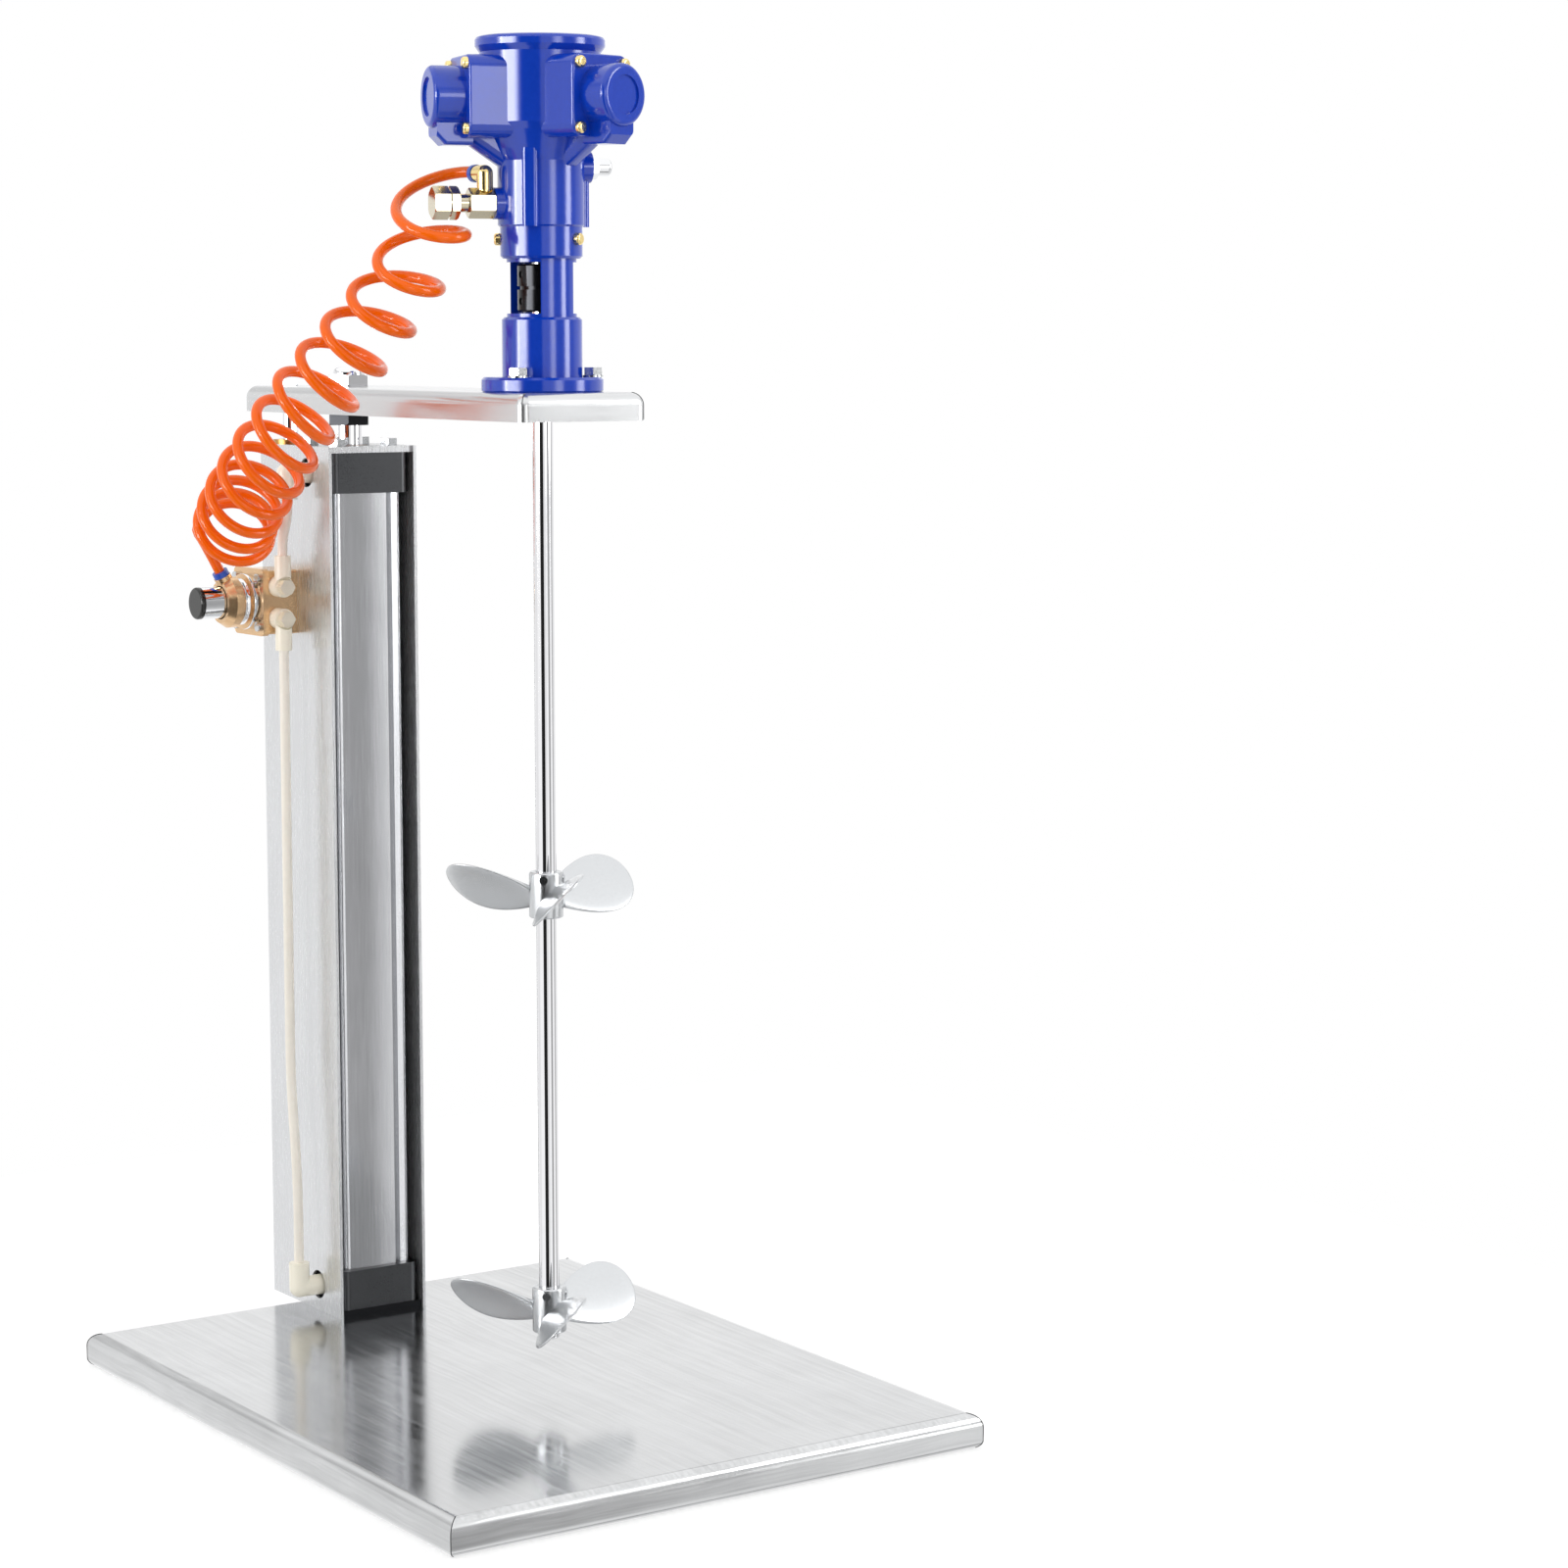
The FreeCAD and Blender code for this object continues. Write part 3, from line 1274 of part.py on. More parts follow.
def rounded_path(route, label):
    """Straight runs and tangent arcs, each arc as large as its two runs allow."""
    points = [Vector(*p) for p in route]
    edges = []
    start = points[0]
    radii = []
    for before, corner, after in zip(points, points[1:], points[2:]):
        back, ahead = before.sub(corner), after.sub(corner)
        shorter = min(back.Length, ahead.Length)
        back.normalize()
        ahead.normalize()
        half_turn = (math.pi - back.getAngle(ahead)) / 2
        cut = 0.45 * shorter
        radius = cut / math.tan(half_turn)
        radii.append(round(radius, 1))
        first = corner.add(Vector(back).multiply(cut))
        last = corner.add(Vector(ahead).multiply(cut))
        inward = back.add(ahead)
        inward.normalize()
        middle = corner.add(inward.multiply(radius / math.cos(half_turn) - radius))
        edges.append(Part.LineSegment(start, first).toShape())
        edges.append(Part.Arc(first, middle, last).toShape())
        start = last
    edges.append(Part.LineSegment(start, points[-1]).toShape())
    print(label, "arc radii", radii)
    return Part.Wire(edges)


def tube_along(path, radius):
    first = path.Edges[0]
    way = first.tangentAt(first.FirstParameter)
    start = first.valueAt(first.FirstParameter)
    ring = Part.Wire([Part.makeCircle(radius, start, way)])
    solid = path.makePipeShell([ring], True, True)
    expected = math.pi * radius * radius * path.Length
    print("tube of", round(path.Length, 1), "mm, volume share", round(solid.Volume / expected, 4))
    return solid


def coil_top():
    """Where the close turns end: the middle of the middle line's last run but one."""
    return Vector(*coil_route[-3]).add(Vector(*coil_route[-2])).multiply(0.5)


def hose_coil():
    """The outer shape of the coil's turns, without those round the knob."""
    route = list(coil_route[:-2]) + [tuple(coil_top())]
    return tube_along(rounded_path(route, "hose coil"), coil_winding_radius + hose_radius)


def open_turn_corner(turns):
    """A corner of the hose's path, so many turns below the elbow, outside the circle that its arcs follow."""
    share = turns / open_turns
    middle = Vector(*coil_route[-1]).multiply((1 - share) ** 2)
    middle = middle.add(Vector(*coil_route[-2]).multiply(2 * share * (1 - share)))
    middle = middle.add(coil_top().multiply(share ** 2))
    facing = Vector(*open_facing_elbow).multiply(1 - share).add(Vector(*open_facing_coil).multiply(share))
    facing.normalize()
    across = Vector(1, 0, 0).sub(Vector(facing).multiply(facing.x))
    across.normalize()
    behind = across.cross(facing)
    angle = math.radians(open_turn_angle + 360 * turns)
    reach = coil_winding_radius / math.cos(math.pi * open_turn_step)
    return middle.add(across.multiply(reach * math.cos(angle))).add(behind.multiply(reach * math.sin(angle)))


def upper_lead_route():
    """From the elbow on the motor, round the speed knob and into the coil's upper end."""
    foot, way = inlet_elbow_foot(), inlet_elbow_way()
    start = foot.add(Vector(way).multiply(inlet_elbow_length - hose_socket_depth))
    first = foot.add(Vector(way).multiply(inlet_elbow_length + elbow_run))
    count = int((open_turns - open_first_corner) / open_turn_step)
    corners = [tuple(open_turn_corner(open_first_corner + k * open_turn_step)) for k in range(count)]
    return [tuple(start), tuple(first)] + corners


def lower_lead_route():
    """From the hand valve's fitting, up and over to the coil's lower end."""
    end, way = supply_neck_end(), supply_neck_way()
    start = end.sub(Vector(way).multiply(hose_socket_depth))
    first = end.add(Vector(way).multiply(neck_run))
    return [tuple(start), tuple(first), (-93.0, 224.0, 520.0), (-92.0, 212.0, 530.0)]


def hose_lead(route, label):
    return tube_along(rounded_path(route, label), hose_radius).cut(hose_coil())


def lower_tube_route():
    low_z = port_heights()[0] + port_elbow_stub - 6
    high_z = banjo_heights()[0] - banjo_radius - banjo_stub_length + 6
    return ((tube_x, lift_y, low_z), (tube_x, lift_y, low_z + tube_bend_run),
            (tube_x, tube_y, low_z + 2 * tube_bend_run), (tube_x, tube_y, high_z))


def upper_tube_route():
    low_z = banjo_heights()[1] + banjo_radius + banjo_stub_length - 6
    high_z = port_heights()[1] - port_elbow_stub + 6
    step = (high_z - low_z) / 3
    return ((tube_x, tube_y, low_z), (tube_x, tube_y, low_z + step), (tube_x, lift_y, high_z - step),
            (tube_x, lift_y, high_z))


def main():
    os.makedirs("parts", exist_ok=True)
    write("base_plate", base_plate())
    write("base_stiffener", base_stiffener())
    write("column_channel", column_channel())
    write("column_foot_plate", column_foot_plate())
    write("foot_screws", foot_screws())
    write("column_top_plate", column_top_plate())
    write("top_plate_screws", top_plate_screws())
    write("cylinder_bottom_cap", cylinder_bottom_cap())
    write("cylinder_top_cap", cylinder_top_cap())
    write("cylinder_barrel", cylinder_barrel())
    write("tie_rods", tie_rods())
    write("piston", piston())
    write("piston_seal", piston_seal())
    write("piston_rod", piston_rod())
    write("rod_bush", rod_bush())
    write("rod_lock_nut", rod_lock_nut())
    write("dome_nut", dome_nut())
    write("guide_rods", guide_rods())
    write("guide_bushes", guide_bushes())
    write("guide_bracket", guide_bracket())
    write("guide_nuts", guide_nuts())
    write("arm", arm())
    write("rod_block", rod_block())
    write("flange_bolts", flange_bolts())
    write("flange_washers", flange_washers())
    write("flange_nuts", flange_nuts())
    write("motor_lantern", motor_lantern())
    write("collar_screws", collar_screws())
    write("shaft_bearings", Part.makeCompound([bearing(lower_bearing_z()), bearing(motor_bearing_z())]))
    write("motor_body", motor_body())
    write("motor_crown", motor_crown())
    for number, angle in enumerate(head_angles, start=1):
        write("cylinder_head_" + str(number), cylinder_head(angle))
    write("head_screws", head_screws())
    write("inlet_valve_body", inlet_valve_body())
    write("speed_knob", speed_knob())
    write("inlet_elbow", inlet_elbow())
    write("inlet_collet", inlet_collet())
    write("exhaust_silencer", exhaust_silencer())
    write("mixing_shaft", mixing_shaft())
    write("output_shaft", output_shaft())
    write("shaft_coupling", shaft_coupling())
    write("coupling_screws", coupling_screws())
    write("propeller_lower", propeller(propeller_bottoms[0]))
    write("propeller_upper", propeller(propeller_bottoms[1]))
    write("propeller_screws", propeller_screws())
    write("hand_valve_body", hand_valve_body())
    write("valve_screws", valve_screws())
    write("valve_collet", valve_collet())
    write("valve_knob", valve_knob())
    write("valve_knob_cap", valve_knob_cap())
    write("banjo_elbows", Part.makeCompound([banjo_elbow(banjo_heights()[0], -1),
                                             banjo_elbow(banjo_heights()[1], 1)]))
    write("banjo_bolts", banjo_bolts())
    write("port_elbows", Part.makeCompound([port_elbow(port_heights()[0], 1),
                                            port_elbow(port_heights()[1], -1)]))
    write("air_tube_lower", air_tube(lower_tube_route()))
    write("air_tube_upper", air_tube(upper_tube_route()))
    write("hose_lead_lower", hose_lead(lower_lead_route(), "lower lead"))
    write("hose_lead_upper", hose_lead(upper_lead_route(), "upper lead"))
    write("hose_coil", hose_coil())


main()
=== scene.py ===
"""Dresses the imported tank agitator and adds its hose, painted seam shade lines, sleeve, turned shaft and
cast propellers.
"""

from __future__ import annotations

import logging
import math
from dataclasses import dataclass
from enum import Enum

import bpy
import numpy as np
from bpy.types import ColorRamp, Material, Node, NodeSocket, NodeTree, Object, World
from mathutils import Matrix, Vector
from mathutils.bvhtree import BVHTree

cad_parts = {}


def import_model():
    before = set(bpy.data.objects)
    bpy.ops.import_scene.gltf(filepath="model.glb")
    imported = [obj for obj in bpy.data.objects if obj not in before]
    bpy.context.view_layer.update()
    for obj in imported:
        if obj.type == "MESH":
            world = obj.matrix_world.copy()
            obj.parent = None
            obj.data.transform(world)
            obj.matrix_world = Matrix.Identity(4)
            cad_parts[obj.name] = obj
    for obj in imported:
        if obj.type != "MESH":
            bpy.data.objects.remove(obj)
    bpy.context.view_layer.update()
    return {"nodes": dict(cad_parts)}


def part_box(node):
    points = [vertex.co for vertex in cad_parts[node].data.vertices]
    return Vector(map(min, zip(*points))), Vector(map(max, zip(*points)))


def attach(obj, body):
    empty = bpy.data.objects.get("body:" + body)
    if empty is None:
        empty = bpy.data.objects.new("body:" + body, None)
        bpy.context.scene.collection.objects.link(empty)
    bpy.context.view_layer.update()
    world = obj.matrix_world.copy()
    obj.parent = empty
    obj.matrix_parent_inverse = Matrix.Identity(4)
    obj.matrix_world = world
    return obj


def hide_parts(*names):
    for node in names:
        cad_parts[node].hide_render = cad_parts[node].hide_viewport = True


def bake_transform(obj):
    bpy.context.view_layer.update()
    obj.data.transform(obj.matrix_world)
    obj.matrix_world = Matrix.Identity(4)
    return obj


LOG = logging.getLogger("agitator")
MM = 0.001
BODY_STAND = "stand"
BODY_LIFT = "lift"
BODY_ROTOR = "rotor"
# A Mix node has a pair of inputs and an output for each kind of data, told apart by number.
VECTOR_A, VECTOR_B, VECTOR_MIXED = 4, 5, 1
COLOR_A, COLOR_B, COLOR_MIXED = 6, 7, 2
# Most of a noise texture's values lie between these, so roughness and tone are spread over that stretch.
NOISE_LOW = 0.25
NOISE_HIGH = 0.75
# Brushed and turned lines are this many times longer than they are apart.
LINE_STRETCH = 45
# A brushing belt wanders sideways about every seventy millimetres.
WAVES_PER_METRE = 14.0
# Clouds forty millimetres across, because handling and polishing leave a piece slightly uneven.
CLOUDS_PER_METRE = 25.0
CLOUD_SHARE = 0.35
# A face whose normal is nearer to Y than this is an end face of a piece that is brushed along Y.
END_FACE = 0.7
# How much light goes into a milky plastic, and how far its red, green and blue reach beside each other.
SCATTER_SHARE = 0.15
SCATTER_RADII = (1.0, 0.9, 0.8)


def linear(hex_color: str) -> tuple[float, float, float, float]:
    """Turns an sRGB hex colour to linear light.

    Args:
        hex_color: Six hex digits after a hash sign.

    Returns:
        Red, green, blue and an alpha of 1.
    """
    shares = [int(hex_color[i : i + 2], 16) / 255 for i in (1, 3, 5)]
    light = [s / 12.92 if s <= 0.04045 else ((s + 0.055) / 1.055) ** 2.4 for s in shares]
    return light[0], light[1], light[2], 1.0


def empty_nodes(owner: Material | World) -> NodeTree:
    """Switches on the nodes of a material or world and empties them."""
    owner.use_nodes = True
    owner.node_tree.nodes.clear()
    return owner.node_tree


def add_node(
    tree: NodeTree,
    kind: str,
    settings: dict[str, object] | None = None,
    inputs: dict[str | int, object] | None = None,
) -> Node:
    """Adds a node to a tree; an input that is a socket is linked and any other is set.

    Args:
        tree: The material's or world's nodes.
        kind: The node's type name, without the ShaderNode in front.
        settings: The node's own properties.
        inputs: Values or sockets by input name or number.

    Returns:
        The new node.
    """
    node = tree.nodes.new(f"ShaderNode{kind}")
    for name, value in (settings or {}).items():
        setattr(node, name, value)
    for key, value in (inputs or {}).items():
        if isinstance(value, NodeSocket):
            tree.links.new(value, node.inputs[key])
        else:
            node.inputs[key].default_value = value
    return node


class Grain(Enum):
    """How a surface was made, which sets its pattern."""

    BRUSHED_Y = "brushed along the object's depth"
    BRUSHED_Z = "brushed upright"
    TURNED = "turned on a lathe, rings round an upright axis"
    CAST = "cast and blasted"
    SPRAYED = "sprayed, with orange peel"
    MOULDED = "moulded, a fine even grain"
    POLISHED = "polished, faint clouds only"


@dataclass(frozen=True)
class Finish:
    """One finish: a common material, how its surface was made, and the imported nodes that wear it."""

    name: str
    color: str
    grain: Grain
    roughness: float
    metallic: float = 0.0
    roughness_spread: float = 0.05
    tone_spread: float = 0.03
    spacing_mm: float = 0.8
    depth_mm: float = 0.002
    ior: float = 1.5
    scatter_mm: float = 0.0
    wander_mm: float = 0.0
    nodes: tuple[str, ...] = ()

    def stretch(self) -> tuple[float, float, float]:
        """Gives the pattern's repeats per metre along each axis: few along the lines and many across."""
        fine = 1 / (self.spacing_mm * MM)
        along = fine / LINE_STRETCH
        return {
            Grain.BRUSHED_Y: (fine, along, fine),
            Grain.BRUSHED_Z: (fine, fine, along),
            Grain.TURNED: (along, along, fine),
        }.get(self.grain, (fine, fine, fine))

    def turned_at_ends(self, tree: NodeTree, wandered: Node, stretched: Node) -> Node:
        """Turns the brushing to run across on faces that look along Y, as a belt takes a folded edge.

        Args:
            tree: The material's nodes.
            wandered: The node that gives the wavy coordinates.
            stretched: The mapping for brushing along Y.

        Returns:
            The node whose vector output mixes both by the face's direction.
        """
        fine, along, _ = self.stretch()
        across = add_node(
            tree, "Mapping", inputs={"Vector": wandered.outputs[0], "Scale": (along, fine, fine)}
        )
        facing = add_node(tree, "TexCoord")
        parts = add_node(tree, "SeparateXYZ", inputs={0: facing.outputs["Normal"]})
        size = add_node(tree, "Math", {"operation": "ABSOLUTE"}, {0: parts.outputs["Y"]})
        at_end = add_node(tree, "Math", {"operation": "GREATER_THAN"}, {0: size.outputs[0], 1: END_FACE})
        return add_node(
            tree,
            "Mix",
            {"data_type": "VECTOR"},
            {"Factor": at_end.outputs[0], VECTOR_A: stretched.outputs[0], VECTOR_B: across.outputs[0]},
        )

    def fine_pattern(self, tree: NodeTree, place: NodeSocket) -> Node:
        """Makes the lines or grains that the surface's making left, as noise stretched to the grain.

        Args:
            tree: The material's nodes.
            place: The Object coordinates.

        Returns:
            The noise node.
        """
        # The belt wanders a little as it brushes, so the lines are slightly wavy.
        wave = add_node(tree, "TexNoise", inputs={"Vector": place, "Scale": WAVES_PER_METRE, "Detail": 1.0})
        wandered = add_node(
            tree,
            "VectorMath",
            {"operation": "MULTIPLY_ADD"},
            {0: wave.outputs["Color"], 1: (self.wander_mm * MM,) * 3, 2: place},
        )
        stretched = add_node(
            tree, "Mapping", inputs={"Vector": wandered.outputs[0], "Scale": self.stretch()}
        )
        pattern = stretched.outputs[0]
        if self.grain is Grain.BRUSHED_Y:
            pattern = self.turned_at_ends(tree, wandered, stretched).outputs[VECTOR_MIXED]
        return add_node(
            tree, "TexNoise", inputs={"Vector": pattern, "Scale": 1.0, "Detail": 3.0, "Roughness": 0.6}
        )

    def tone(self, tree: NodeTree, unevenness: NodeSocket) -> Node:
        """Makes the colour, a little darker and lighter with the unevenness.

        Args:
            tree: The material's nodes.
            unevenness: The mixed noise.

        Returns:
            The ramp node.
        """
        base = linear(self.color)[:3]
        ramp = add_node(tree, "ValToRGB", inputs={"Fac": unevenness})
        dark, light = ramp.color_ramp.elements
        dark.position = NOISE_LOW
        light.position = NOISE_HIGH
        dark.color = (*(c * (1 - 2 * self.tone_spread) for c in base), 1.0)
        light.color = (*(min(c * (1 + self.tone_spread), 1.0) for c in base), 1.0)
        return ramp

    def material(self) -> Material:
        """Builds the finish as shader nodes on Object coordinates.

        Returns:
            The material, named for the finish.
        """
        material = bpy.data.materials.new(self.name)
        tree = empty_nodes(material)
        place = add_node(tree, "TexCoord").outputs["Object"]
        fine = self.fine_pattern(tree, place)
        clouds = add_node(
            tree, "TexNoise", inputs={"Vector": place, "Scale": CLOUDS_PER_METRE, "Detail": 2.0}
        )
        unevenness = add_node(
            tree,
            "Mix",
            {"data_type": "FLOAT"},
            {"Factor": CLOUD_SHARE, "A": fine.outputs["Fac"], "B": clouds.outputs["Fac"]},
        ).outputs["Result"]
        rough = add_node(
            tree,
            "MapRange",
            inputs={
                "Value": unevenness,
                "From Min": NOISE_LOW,
                "From Max": NOISE_HIGH,
                "To Min": max(self.roughness - self.roughness_spread, 0.02),
                "To Max": self.roughness + self.roughness_spread,
            },
        )
        bump = add_node(
            tree,
            "Bump",
            inputs={"Strength": 1.0, "Distance": self.depth_mm * MM, "Height": fine.outputs["Fac"]},
        )
        shader = add_node(
            tree,
            "BsdfPrincipled",
            inputs={
                "Base Color": self.tone(tree, unevenness).outputs["Color"],
                "Metallic": self.metallic,
                "Roughness": rough.outputs["Result"],
                "IOR": self.ior,
                "Normal": bump.outputs["Normal"],
            },
        )
        if self.scatter_mm:
            shader.inputs["Subsurface Weight"].default_value = SCATTER_SHARE
            shader.inputs["Subsurface Radius"].default_value = SCATTER_RADII
            shader.inputs["Subsurface Scale"].default_value = self.scatter_mm * MM
        add_node(tree, "OutputMaterial", inputs={"Surface": shader.outputs["BSDF"]})
        return material


# Grain spacings are drawn coarser than real ones, which are 0.1 mm for brushing and 0.2 mm for casting grit,
# so that they show.
FINISHES: tuple[Finish, ...] = (
    # Stainless sheet, belt-brushed and then buffed: long wavy lines over a reflection that holds its edges.
    Finish(
        "brushed_stainless_base", "#CDCECF", Grain.BRUSHED_Y, metallic=1.0, roughness=0.15,
        roughness_spread=0.07, tone_spread=0.12, spacing_mm=2.8, depth_mm=0.01, wander_mm=6.0,
        nodes=("base_plate", "base_stiffener"),
    ),
    # Rolled and brushed upright: brighter and more even than the base.
    Finish(
        "brushed_stainless_column", "#D8D9DB", Grain.BRUSHED_Z, metallic=0.85, roughness=0.27,
        spacing_mm=1.0,
        nodes=("column_channel", "column_top_plate"),
    ),
    # A finer belt along the arm: a soft satin with hardly a line.
    Finish(
        "satin_stainless_arm", "#D2D3D4", Grain.BRUSHED_Y, metallic=0.85, roughness=0.24,
        roughness_spread=0.04, spacing_mm=1.0, depth_mm=0.001,
        nodes=("arm",),
    ),
    # Ground and polished stainless bar: a mirror with faint clouds.
    Finish(
        "polished_stainless", "#E4E4E6", Grain.POLISHED, metallic=1.0, roughness=0.05,
        roughness_spread=0.02, tone_spread=0.02, spacing_mm=6.0, depth_mm=0.0,
        nodes=("piston_rod", "dome_nut", "guide_rods", "mixing_shaft"),
    ),
    # Investment-cast stainless, blasted and then tumbled smooth: an even satin.
    Finish(
        "cast_stainless", "#CBCDCF", Grain.CAST, metallic=1.0, roughness=0.25,
        roughness_spread=0.02, spacing_mm=1.4, depth_mm=0.0005,
        nodes=("propeller_lower", "propeller_upper"),
    ),
    # Zinc-plated steel fasteners: bright, slightly cool and blotchy.
    Finish(
        "zinc_plated_steel", "#CBCDCF", Grain.CAST, metallic=1.0, roughness=0.18,
        roughness_spread=0.06, tone_spread=0.05, spacing_mm=1.5, depth_mm=0.001,
        nodes=(
            "foot_screws", "top_plate_screws", "tie_rods", "guide_nuts", "flange_bolts", "flange_washers",
            "flange_nuts", "propeller_screws", "valve_screws",
        ),
    ),
    # Stoved blue enamel on a casting: one deep glossy skin with a little orange peel.
    Finish(
        "blue_enamel", "#083CB8", Grain.SPRAYED, roughness=0.13, roughness_spread=0.03,
        tone_spread=0.05, spacing_mm=3.0, depth_mm=0.02, ior=1.6,
        nodes=(
            "motor_lantern", "motor_body", "motor_crown", "cylinder_head_1", "cylinder_head_2",
            "cylinder_head_3",
        ),
    ),
    # Turned brass, bare: warm and bright.
    Finish(
        "turned_brass", "#F2D998", Grain.TURNED, metallic=1.0, roughness=0.18,
        tone_spread=0.06, depth_mm=0.004,
        nodes=("collar_screws", "head_screws", "inlet_elbow"),
    ),
    # Nickel-plated brass: bright with a warm cast.
    Finish(
        "nickel_plated_brass", "#C6BCA3", Grain.TURNED, metallic=1.0, roughness=0.16,
        tone_spread=0.04, depth_mm=0.004,
        nodes=("inlet_valve_body", "speed_knob"),
    ),
    # Pearl nickel on brass: a creamy satin, softer than the bright plating.
    Finish(
        "pearl_nickel_brass", "#F7EFDC", Grain.TURNED, metallic=0.55, roughness=0.3, depth_mm=0.003,
        nodes=("banjo_bolts",),
    ),
    # Extruded aluminium, clear anodised: matt silver with faint upright die lines.
    Finish(
        "anodised_aluminium", "#D4D5D8", Grain.BRUSHED_Z, metallic=1.0, roughness=0.17,
        roughness_spread=0.04, tone_spread=0.04, spacing_mm=0.9, depth_mm=0.003,
        nodes=("cylinder_barrel", "piston", "guide_bracket"),
    ),
    # Die-cast caps, dark grey anodised.
    Finish(
        "dark_grey_anodised", "#4C4D4F", Grain.CAST, metallic=1.0, roughness=0.3, tone_spread=0.06,
        nodes=("cylinder_bottom_cap", "cylinder_top_cap"),
    ),
    # Steel blackened in hot oxide: nearly black, oily sheen. The column's foot plate is a real part, but its
    # black here is painted shade that stands for the shadow line under the cylinder's bottom cap.
    Finish(
        "black_oxide_steel_and_shade", "#232427", Grain.TURNED, metallic=0.8, roughness=0.18,
        roughness_spread=0.04, tone_spread=0.08, spacing_mm=1.0,
        nodes=("rod_block", "rod_lock_nut", "column_foot_plate", "shaft_coupling", "coupling_screws"),
    ),
    # Sintered bronze bushes: brown-gold with a dull shine.
    Finish(
        "bearing_bronze", "#B98A50", Grain.TURNED, metallic=1.0, roughness=0.3,
        tone_spread=0.05, depth_mm=0.006,
        nodes=("rod_bush", "guide_bushes"),
    ),
    # Ground and honed steel: a cool, even shine.
    Finish(
        "ground_bearing_steel", "#C9CBCE", Grain.TURNED, metallic=1.0, roughness=0.12,
        roughness_spread=0.03, depth_mm=0.003,
        nodes=("shaft_bearings", "output_shaft"),
    ),
    # Moulded rubber: black and matt.
    Finish(
        "nitrile_rubber", "#17181A", Grain.MOULDED, roughness=0.6, tone_spread=0.08,
        spacing_mm=1.0, depth_mm=0.01,
        nodes=("piston_seal",),
    ),
    # Aluminium block, sand-blasted and gold anodised: warm tan with a soft shine.
    Finish(
        "gold_anodised_aluminium", "#E0BB90", Grain.CAST, metallic=0.85, roughness=0.25,
        roughness_spread=0.06, tone_spread=0.05, spacing_mm=0.7,
        nodes=("hand_valve_body",),
    ),
    # Chrome over turned metal: a bright, cool mirror.
    Finish(
        "chrome_plate", "#E2E3E5", Grain.TURNED, metallic=1.0, roughness=0.08, roughness_spread=0.03,
        nodes=("valve_knob", "exhaust_silencer"),
    ),
    # Moulded acetal: black with a smooth gloss.
    Finish(
        "black_acetal", "#1C1D1B", Grain.MOULDED, roughness=0.14, roughness_spread=0.04,
        tone_spread=0.06, spacing_mm=1.2, depth_mm=0.004,
        nodes=("valve_knob_cap",),
    ),
    # Moulded nylon fittings in ivory: slightly waxy.
    Finish(
        "ivory_nylon", "#FFF8E6", Grain.MOULDED, roughness=0.22, tone_spread=0.02, spacing_mm=1.0,
        nodes=("banjo_elbows", "port_elbows"),
    ),
    # Moulded acetal, dyed blue: bright with a soft shine.
    Finish(
        "blue_acetal", "#2A58C8", Grain.MOULDED, roughness=0.3, tone_spread=0.05,
        spacing_mm=1.0, depth_mm=0.004,
        nodes=("inlet_collet", "valve_collet"),
    ),
    # Natural nylon tube: milky, lets light through.
    Finish(
        "milky_nylon_tube", "#FBF4E8", Grain.MOULDED, roughness=0.2, roughness_spread=0.04,
        tone_spread=0.02, spacing_mm=3.0, scatter_mm=1.0,
        nodes=("air_tube_lower", "air_tube_upper"),
    ),
)

# Extruded polyurethane: saturated orange and glossy.
ORANGE_HOSE = Finish(
    "orange_polyurethane", "#FF6A00", Grain.MOULDED, roughness=0.12, roughness_spread=0.03,
    spacing_mm=5.0, ior=1.36,
)
# Painted shade: a dark line where two folded edges of the sheet meet, standing for the shade in the gap
# between them.
SEAM_SHADE_PAINT = Finish(
    "seam_shadow", "#2C2D2F", Grain.CAST, metallic=0.4, roughness=0.5, tone_spread=0.1, depth_mm=0.01,
)


def grey(level: float) -> tuple[float, float, float, float]:
    """Gives a neutral colour of the level in linear light."""
    return level, level, level, 1.0


def set_stops(ramp: ColorRamp, stops: list[tuple[float, float]]) -> None:
    """Gives a ramp its grey stops.

    Args:
        ramp: The ramp.
        stops: The place and brightness of each, in order.
    """
    while len(ramp.elements) < len(stops):
        ramp.elements.new(0.5)
    for element, (position, shade) in zip(ramp.elements, stops, strict=True):
        element.position = position
        element.color = grey(shade)


def add_piece(name: str, points: np.ndarray, faces: list[tuple[int, ...]], material: Material) -> Object:
    """Makes a mesh object, smooth but for its flat end faces, and links it to the scene.

    Args:
        name: The piece's name.
        points: Its vertices, in metres.
        faces: Vertex numbers of each face, outwards.
        material: Its finish.

    Returns:
        The object, with its place in its mesh.
    """
    mesh = bpy.data.meshes.new(name)
    mesh.from_pydata(points.tolist(), [], faces)
    mesh.polygons.foreach_set("use_smooth", np.array([len(face) == 4 for face in faces]))
    mesh.update()
    mesh.materials.append(material)
    piece = bpy.data.objects.new(name, mesh)
    bpy.context.scene.collection.objects.link(piece)
    return piece


def grid_faces(rows: int, columns: int, closed_rows: bool, first: int = 0) -> list[tuple[int, ...]]:
    """Numbers the quads of a grid whose columns close on themselves; each joins its row to the next.

    Args:
        rows: The number of rows.
        columns: The points in a row.
        closed_rows: Whether the last row joins the first.
        first: The number of the first vertex.

    Returns:
        Four vertex numbers for each quad.
    """
    row = np.arange(rows if closed_rows else rows - 1)[:, None]
    column = np.arange(columns)[None, :]
    here, there = first + row * columns, first + (row + 1) % rows * columns
    beside = (column + 1) % columns
    quads = np.stack([here + column, here + beside, there + beside, there + column], -1)
    return [tuple(quad) for quad in quads.reshape(-1, 4).tolist()]


